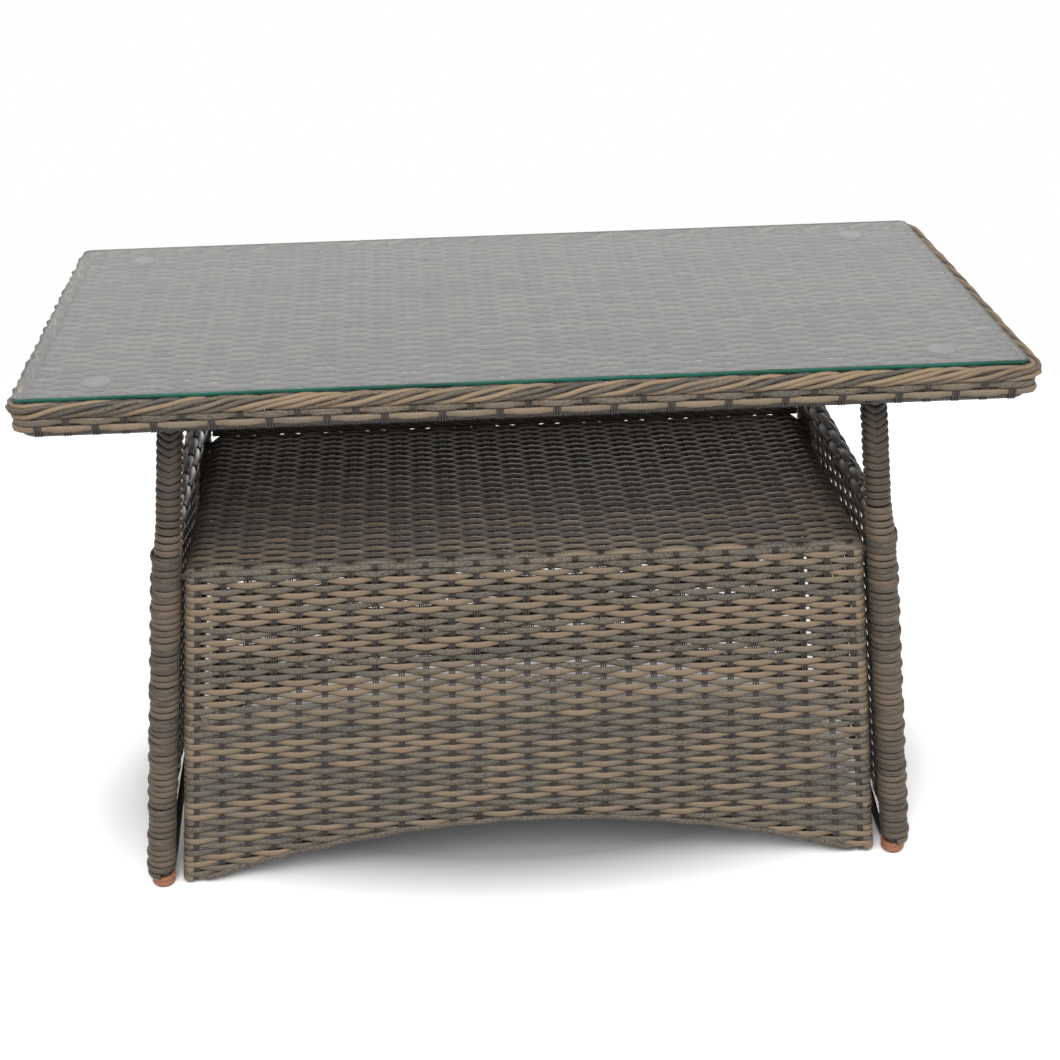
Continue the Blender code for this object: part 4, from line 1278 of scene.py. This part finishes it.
# ------------------------------------------------------------------ top
@dataclass
class Rim:
    """Everything round the top: border rope, apron canes, stakes and ribs."""

    finishes: Finishes
    inset: float = 0.0145
    rope_out: float = 0.0088
    rope_lays: int = 19
    strands: int = 6
    strand_radius: float = 0.0060
    strand_width: float = 0.0056
    apron_out: float = 0.0108
    rib_pitch: float = 0.0043
    rib_z: float = 0.6412
    stakes: int = 104
    phase: float = 0.66
    row_z: tuple[float, float] = (0.6506, 0.6422)

    def __post_init__(self) -> None:
        """Work out the rim's base loop, a rectangle with round corners, as dense samples."""
        radius = RIM_CORNER - self.inset
        sx = np.array([[-1], [1], [1], [-1]])
        sy = np.array([[-1], [-1], [1], [1]])
        turn = (np.radians(np.linspace(0, 90, 25)) + math.pi
                + np.arange(4)[:, None] * math.pi / 2)
        x = (sx * (RIM_HALF_X - self.inset - radius) + radius * np.cos(turn)
             + np.where(sx > 0, RIGHT_SLACK, 0.0))
        y = sy * (RIM_HALF_Y - self.inset - radius) + radius * np.sin(turn)
        self.table = np.array([np.append(row.ravel(), row[0, 0])
                               for row in (x, y, np.cos(turn), np.sin(turn))])
        step = np.hypot(np.diff(self.table[0]), np.diff(self.table[1]))
        self.way = np.concatenate([[0.0], np.cumsum(step)])
        self.length = float(self.way[-1])

    def at(self, along: Grid, out: Grid | float, z: Grid | float) -> tuple[Grid, Grid]:
        """Return points and outward directions at a distance along the loop.

        Args:
            along: Distance along the base loop, counter-clockwise from the front left corner.
            out: How far outside the loop.
            z: Height.

        Returns:
            Points and level outward directions.
        """
        along, out, z = np.broadcast_arrays(along, out, z)
        way = np.mod(along, self.length)
        x, y, nx, ny = (np.interp(way, self.way, row) for row in self.table)
        size = np.maximum(np.hypot(nx, ny), 1e-9)
        nx, ny = nx / size, ny / size
        points = np.stack([x + nx * out, y + ny * out, z], -1)
        return points, np.stack([nx, ny, 0 * nx], -1)

    def rope(self) -> Strip:
        """Twist three pairs of canes into the border rope, each a tan and a speckled cane.

        Formula: strand k turns about the rope's centre line at 2 pi (lays times share + k / 6),
        and its distance from that line swells and shrinks a little.

        Returns:
            The six closed strands.
        """
        samples = self.rope_lays * 34
        share = np.arange(samples)[None, :] / samples
        number = np.arange(self.strands)[:, None]
        rng = np.random.default_rng(61)
        loose = rng.uniform(0, 2 * math.pi, (2, self.strands, 1))
        stray = np.sin(2 * math.pi * 34 * share + loose[0]) * 0.14
        paired = (number + 0.08 * (number % 2)) / self.strands
        turn = 2 * math.pi * (self.rope_lays * share - paired) + stray
        radius = self.strand_radius + 0.0006 * np.sin(2 * math.pi * 47 * share + loose[1])
        points, level = self.at(share * self.length, self.rope_out + radius * np.cos(turn),
                                ROPE_Z + radius * np.sin(turn))
        up = np.array([0.0, 0.0, 1.0])
        outward = level * np.cos(turn)[..., None] + up * np.sin(turn)[..., None]
        seen = np.floor(turn / (2 * math.pi) + 0.25).astype(int)
        seen -= seen.min()
        tan = (rng.random((self.strands, seen.max() + 1)) < 0.15) ^ (number % 2 == 1)
        tone = np.where(tan, 0.85, 0.28) + rng.normal(0, 0.16, tan.shape)
        fleck = np.where(tan, 0.10, rng.uniform(0.55, 1.0, tan.shape))
        pick = (number, seen)
        return sweep(points, outward, Section.ROPE, self.strand_width, self.strand_width,
                     np.clip(tone, 0, 1)[pick], fleck[pick], closed=True, seed=62)

    def rope_core(self) -> Strip:
        """Run the dark core inside the border rope, a closed level loop."""
        share = np.arange(320)[None, :] / 320
        points, level = self.at(share * self.length, self.rope_out, ROPE_Z)
        return sweep(points, level, Section.STRAND, 0.0110, 0.0110, 0.0, 0.0, closed=True,
                     seed=68)

    def apron_canes(self) -> Strip:
        """Lay the two rows of long floats round the apron.

        Formula: the offset is a steep wave, so a float lies flat between the stakes that it
        goes under, and the two rows pass under alternate stakes.

        Returns:
            The two closed canes.
        """
        samples = self.stakes * 10
        share = np.arange(samples)[None, :] / samples
        row = np.array([[0.0], [1.0]])
        column = share * self.stakes - self.phase
        wave = np.cos(math.pi * (column + row))
        steep = np.tanh(3.2 * wave) / math.tanh(3.2)
        low = (1 - steep) / 2
        z = np.where(row == 0, *self.row_z) + 0 * share
        points, level = self.at(share * self.length, self.apron_out + 0.0014 * steep, z)
        rng = np.random.default_rng(63)
        each = np.floor((column + row + 1) / 2).astype(int) % (self.stakes // 2)
        tone = np.stack([rng.normal(0.35, 0.14, self.stakes),
                         rng.normal(0.78, 0.12, self.stakes)])
        fleck = np.stack([rng.uniform(0.4, 0.9, self.stakes),
                          rng.uniform(0.0, 0.15, self.stakes)])
        pick = (np.array([[0], [1]]), each)
        width = np.where(row == 0, 0.0086, 0.0081) - 0.0006 * low
        return sweep(points, level, Section.CANE, width, 0.0025, np.clip(tone, 0, 1)[pick],
                     fleck[pick], closed=True, seed=64)

    def apron_stakes(self) -> Strip:
        """Set triple strands up the apron's face and in under the rope to the sheet."""
        place = ((np.arange(self.stakes) + self.phase) * self.length / self.stakes)[:, None]
        side = np.array([-1.0, 0.0, 1.0])[None, :] * 0.0029
        along = (place + side).reshape(-1, 1)
        z = np.array([0.6336, 0.6340, 0.6364, 0.6405, 0.6455, 0.6500, 0.6532, 0.6552, 0.6600,
                      0.6660, 0.6700, 0.6690])
        out = np.array([0.0010, 0.0086, 0.0107, 0.0108, 0.0108, 0.0108, 0.0100, 0.0040, -0.0030,
                        -0.0030, 0.0010, 0.0060])
        z = np.broadcast_to(z, (len(along), len(z)))
        out = np.broadcast_to(out, z.shape)
        points, level = self.at(along + 0 * z, out, z)
        rng = np.random.default_rng(65)
        return sweep(points, level, Section.STRAND, 0.0024, 0.0024,
                     rng.uniform(0.4, 1.0, (len(along), 1)), 0.0, seed=66)

    def ribs(self) -> Strip:
        """Wind fine ribs round the frame behind the apron, but for the corners.

        Formula: each rib follows a superellipse in the plane square to the loop.

        Returns:
            The strip of ribs.
        """
        along = np.arange(0.0, self.length, self.rib_pitch)[:, None]
        corner = RIM_CORNER - self.inset
        points, _ = self.at(along, 0.0, 0.0)
        past_x = np.abs(points[:, 0, 0]) - (RIM_HALF_X - self.inset - corner)
        past_y = np.abs(points[:, 0, 1]) - (RIM_HALF_Y - self.inset - corner)
        along = along[~((past_x > -0.004) & (past_y > -0.004))]
        turn = np.radians(np.linspace(100.0, -260.0, 16, endpoint=False))[None, :]
        out = 0.0080 * np.sign(np.cos(turn)) * np.abs(np.cos(turn)) ** 0.7
        z = self.rib_z + 0.0086 * np.sign(np.sin(turn)) * np.abs(np.sin(turn)) ** 0.8
        out, z = (np.broadcast_to(a, (len(along), 16)) for a in (out, z))
        points, level = self.at(along + 0 * out, out, z)
        outward = unit(level * np.cos(turn)[..., None] + np.array([0, 0, 1.0])
                       * np.sin(turn)[..., None])
        return sweep(points, outward, Section.PLAIN_CANE, 0.0034, 0.0028, 0.9, 0.0,
                     closed=True, seed=67)

    def build(self) -> None:
        """Make the rope, the apron's canes and its stakes and ribs."""
        sides = ("front", "back", "left", "right")
        add_piece("rim_rope_canes", [self.rope()], self.finishes.rope, Body.TABLE,
                  tuple(f"rim_rope_{s}" for s in sides))
        add_piece("rim_apron_canes", [self.apron_canes()], self.finishes.woven, Body.TABLE,
                  tuple(f"rim_apron_{s}" for s in sides))
        add_piece("rim_apron_stakes", [self.apron_stakes(), self.rope_core()],
                  self.finishes.stake, Body.TABLE)
        add_piece("rim_apron_ribs", [self.ribs()], self.finishes.stake, Body.TABLE)


@dataclass
class Tabletop:
    """The woven sheet under the glass."""

    finishes: Finishes
    pitch: float = 0.0310
    half_x: float = 0.5325
    half_y: float = 0.25348
    rows: int = 61

    def surface(self, along: Grid, level: Grid) -> tuple[Grid, Grid]:
        """Return points and upward directions of the flat sheet; row 0 is at the front."""
        y = -self.half_y + level * 2 * self.half_y / (self.rows - 1)
        points = np.stack([along, y, np.full_like(along, SHEET_Z)], -1)
        return points, np.broadcast_to(np.array([0.0, 0.0, 1.0]), points.shape)

    def build(self) -> None:
        """Make the sheet's canes and stakes."""
        weave = PlainWeave(self.surface, lambda s, r: s / self.pitch, seed=71, lift=0.0019,
                           width=0.0076, thickness=0.0021, slimming=0.0, narrowing=0.0,
                           swelling=0.0018, filled=True, section=Section.SHEET_CANE)
        number = np.arange(self.rows, dtype=float)
        near = np.clip(np.abs(number - (self.rows - 1) / 2) - (self.rows - 1) / 2 + 1.5, 0, 2)
        reach = self.half_x - 0.004 * near
        canes = weave.canes(number, -reach, reach + RIGHT_SLACK, 5.0)
        add_piece("tabletop_canes", [canes], self.finishes.sheet, Body.TABLE,
                  ("tabletop_weave",))
        column = np.arange(-17, 18, dtype=float)
        ends = np.full(len(column), self.rows - 0.6)
        stakes = weave.stakes(column, np.full(len(column), -0.4), ends, 1.5,
                              lambda c, r: c * self.pitch, 0.0004, 0.0009)
        add_piece("tabletop_stakes", [stakes], self.finishes.stake, Body.TABLE)


@dataclass
class GlassPane:
    """The loose pane with round corners and a rounded, polished edge."""

    finishes: Finishes
    half_x: float = 0.5425
    half_y: float = 0.2670
    corner: float = 0.0100

    def build(self) -> None:
        """Carry the edge's profile round the pane's outline and close both faces.

        Formula: the outline is a rectangle with quarter-circle corners; the edge's profile
        steps in by the arris at the top and bottom.
        """
        quarter = np.radians(np.linspace(0, 90, 17))
        turns = np.concatenate([quarter + k * math.pi / 2 for k in range(4)])
        sx = np.repeat([1.0, -1.0, -1.0, 1.0], 17)
        sy = np.repeat([1.0, 1.0, -1.0, -1.0], 17)
        steps = np.array([(0.0008, GLASS_BOTTOM), (0.0003, GLASS_BOTTOM + 0.0002),
                          (0.0, GLASS_BOTTOM + 0.0007), (0.0, GLASS_TOP - 0.0007),
                          (0.0003, GLASS_TOP - 0.0002), (0.0008, GLASS_TOP)])
        radius = self.corner - steps[:, :1]
        x = GLASS_SHIFT_X + sx * (self.half_x - self.corner) + radius * np.cos(turns)
        y = sy * (self.half_y - self.corner) + radius * np.sin(turns)
        add_piece("glass_pane", [ring_solid(x, y, steps[:, 1:])], self.finishes.glass,
                  Body.GLASS, ("glass_top",))


@dataclass
class GlassPads:
    """The four soft discs under the pane."""

    finishes: Finishes
    radius: float = 0.0145
    place: tuple[float, float] = (0.4592, 0.2184)

    def build(self) -> None:
        """Turn each disc from a profile of radius and height.

        Formula: the profile (radius, height) is carried round 64 steps of a full turn.
        """
        profile = np.array([(0.9200, 0.66700), (0.9850, 0.66715), (1.0, 0.66760), (1.0, 0.67010),
                            (0.9850, 0.67055), (0.9200, 0.67070)])
        angle = np.linspace(0, 2 * math.pi, 64, endpoint=False)
        ring = self.radius * profile[:, :1]
        for depth, side in CORNERS:
            x = GLASS_SHIFT_X + SIGNS[side] * self.place[0] + ring * np.cos(angle)
            y = SIGNS[depth] * self.place[1] + ring * np.sin(angle)
            add_piece(f"pad_{depth}_{side}", [ring_solid(x, y, profile[:, 1:])],
                      self.finishes.pad, Body.GLASS,
                      (f"glass_pad_{depth}_{side}",))


# ------------------------------------------------------------------ carried-over nodes and stage
def dress_cad_nodes(finishes: Finishes) -> None:
    """Give every CAD node that still shows its procedural finish.

    Args:
        finishes: The finishes to pick from.
    """
    for name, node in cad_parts.items():
        if node.hide_render:
            continue
        for slot in node.material_slots:
            slot.material = finishes.tube
        LOG.info("%s keeps its CAD shape, dressed in %s", name, finishes.tube.name)


@dataclass(frozen=True)
class Camera:
    """The photograph's viewpoint."""

    place: tuple[float, float, float] = (-0.1154, -2.0823, 1.3719)
    focal_px: float = 1827.9
    centre_px: tuple[float, float] = (479.4, 554.5)
    frame_px: float = 1060.0
    yaw: float = 1.885
    pitch: float = 26.381
    roll: float = -1.565

    def build(self) -> None:
        """Make the camera, look along yaw and pitch, and roll it about its view."""
        yaw, pitch, roll = (math.radians(a) for a in (self.yaw, self.pitch, self.roll))
        look = np.array([math.sin(yaw) * math.cos(pitch), math.cos(yaw) * math.cos(pitch),
                         -math.sin(pitch)])
        level = np.array([math.cos(yaw), -math.sin(yaw), 0.0])
        over = np.cross(level, look)
        right = math.cos(roll) * level + math.sin(roll) * over
        up = -math.sin(roll) * level + math.cos(roll) * over
        data = bpy.data.cameras.new("photo_camera")
        data.sensor_width = 36.0
        data.lens = self.focal_px / self.frame_px * 36.0
        data.shift_x = (self.frame_px / 2 - self.centre_px[0]) / self.frame_px
        data.shift_y = (self.centre_px[1] - self.frame_px / 2) / self.frame_px
        data.clip_start, data.clip_end = 0.05, 60.0
        camera = bpy.data.objects.new("photo_camera", data)
        turn = Matrix((right, up, -look)).transposed().to_4x4()
        camera.matrix_world = Matrix.Translation(Vector(self.place)) @ turn
        bpy.context.scene.collection.objects.link(camera)
        bpy.context.scene.camera = camera


@dataclass(frozen=True)
class Lamp:
    """A soft square lamp that faces the table."""

    name: str
    place: tuple[float, float, float]
    watts: float
    size: float
    aim: tuple[float, float, float] = (0.0, 0.0, 0.35)

    def build(self) -> None:
        """Hang the lamp."""
        data = bpy.data.lights.new(self.name, "AREA")
        data.energy, data.size = self.watts, self.size
        lamp = bpy.data.objects.new(self.name, data)
        lamp.location = self.place
        beam = Vector(self.aim) - Vector(self.place)
        lamp.rotation_euler = beam.to_track_quat("-Z", "Y").to_euler()
        bpy.context.scene.collection.objects.link(lamp)


@dataclass(frozen=True)
class Studio:
    """White floor and surroundings with soft lamps."""

    front_light: float = 0.90
    back_light: float = 0.24
    low_share: float = 0.28
    mirrored_low: float = 0.80
    floor_grey: float = 0.30
    floor_seen: float = 1.60
    floor_painted_shadow: float = 0.45
    painted_shadow_to: float = 0.35
    painted_shadow_fades_by: float = 0.62
    white_from: float = 0.95
    white_to: float = 1.90
    floor_half: float = 12.0
    lamps: tuple[Lamp, ...] = (Lamp("key", (-0.5, -2.8, 3.0), 77.0, 1.8),
                               Lamp("fill", (2.2, -1.8, 2.4), 22.0, 1.8),
                               Lamp("top", (0.0, -0.4, 3.0), 12.0, 2.4),
                               Lamp("back", (0.5, 3.0, 0.56), 34.0, 1.0))

    def build_world(self) -> None:
        """Make the surroundings: white when seen, soft light that fades low and behind."""
        world = bpy.data.worlds.new("studio")
        bpy.context.scene.world = world
        world.use_nodes = True
        nodes = NodeTree(world.node_tree)
        way = nodes.node("ShaderNodeTexCoord").outputs["Generated"]
        way = nodes.node("ShaderNodeSeparateXYZ", {0: way}).outputs
        lit = nodes.math(
            "MULTIPLY",
            nodes.ramp(way["Y"], -0.7, 0.4, self.front_light, self.back_light, "LINEAR"),
            nodes.ramp(way["Z"], 0.0, 0.6, self.low_share, 1.0, "LINEAR"))
        mirrored = nodes.ramp(way["Z"], 0.24, 0.40, self.mirrored_low, 1.0, "LINEAR")
        direct = nodes.node("ShaderNodeLightPath").outputs["Is Camera Ray"]
        seen = nodes.ramp(direct, 0.0, 1.0, mirrored, 1.0, "LINEAR")
        background = world.node_tree.nodes["Background"]
        background.inputs["Color"].default_value = (1.0, 1.0, 1.0, 1.0)
        nodes.put(nodes.ramp(nodes.seen_share(), 0.0, 1.0, lit, seen, "LINEAR"),
                  background.inputs["Strength"])

    def build_floor(self) -> None:
        """Lay the floor: pale and matte, and for rays that see it a painted shadow under the
        table and plain white far out.
        """
        mesh = bpy.data.meshes.new("floor")
        far = self.floor_half
        mesh.from_pydata([(-far, -far, 0), (far, -far, 0), (far, far, 0), (-far, far, 0)], [],
                         [(0, 1, 2, 3)])
        floor = bpy.data.objects.new("floor", mesh)
        bpy.context.scene.collection.objects.link(floor)
        material = bpy.data.materials.new("studio_floor")
        material.use_nodes = True
        material.node_tree.nodes.clear()
        mesh.materials.append(material)
        nodes = NodeTree(material.node_tree)
        seen = nodes.seen_share()
        place = nodes.place()
        # Painted shadow: the colour seen is dark under the table and turns pale towards the open
        # floor round it.
        pale = nodes.ramp(nodes.reach(place, (1.0, 1.9, 1.0)), self.painted_shadow_to, self.painted_shadow_fades_by,
                          self.floor_painted_shadow, self.floor_seen, "LINEAR")
        matte = nodes.node("ShaderNodeBsdfDiffuse", {
            "Color": nodes.ramp(seen, 0.0, 1.0, self.floor_grey, pale, "LINEAR")})
        white = nodes.node("ShaderNodeEmission")
        out = nodes.ramp(nodes.reach(place, (1.0, 1.0, 1.0)), self.white_from, self.white_to,
                         0.0, 1.0, "LINEAR")
        blend = nodes.node("ShaderNodeMixShader", {
            0: nodes.math("MULTIPLY", out, seen), 1: matte.outputs[0], 2: white.outputs[0]})
        nodes.node("ShaderNodeOutputMaterial", {0: blend.outputs[0]})

    def build(self) -> None:
        """Make the world, the floor and the lamps."""
        self.build_world()
        self.build_floor()
        for lamp in self.lamps:
            lamp.build()
        bpy.context.scene.view_settings.view_transform = "Standard"


def main() -> None:
    """Build the camera, the studio and every piece of the table, in order."""
    logging.basicConfig(level=logging.INFO, format="%(name)s %(message)s")
    Camera().build()
    Studio().build()
    finishes = Finishes()
    for side in ("front", "back"):
        LongPanel(side, finishes).build()
    Shelf(finishes).build()
    for side in ("left", "right"):
        EndPanel(side, finishes).build()
    for depth, side in CORNERS:
        Leg(depth, side, finishes).build()
    for part in (Rim, Tabletop, GlassPane, GlassPads):
        part(finishes).build()
    dress_cad_nodes(finishes)


if __name__ == "__main__":
    main()
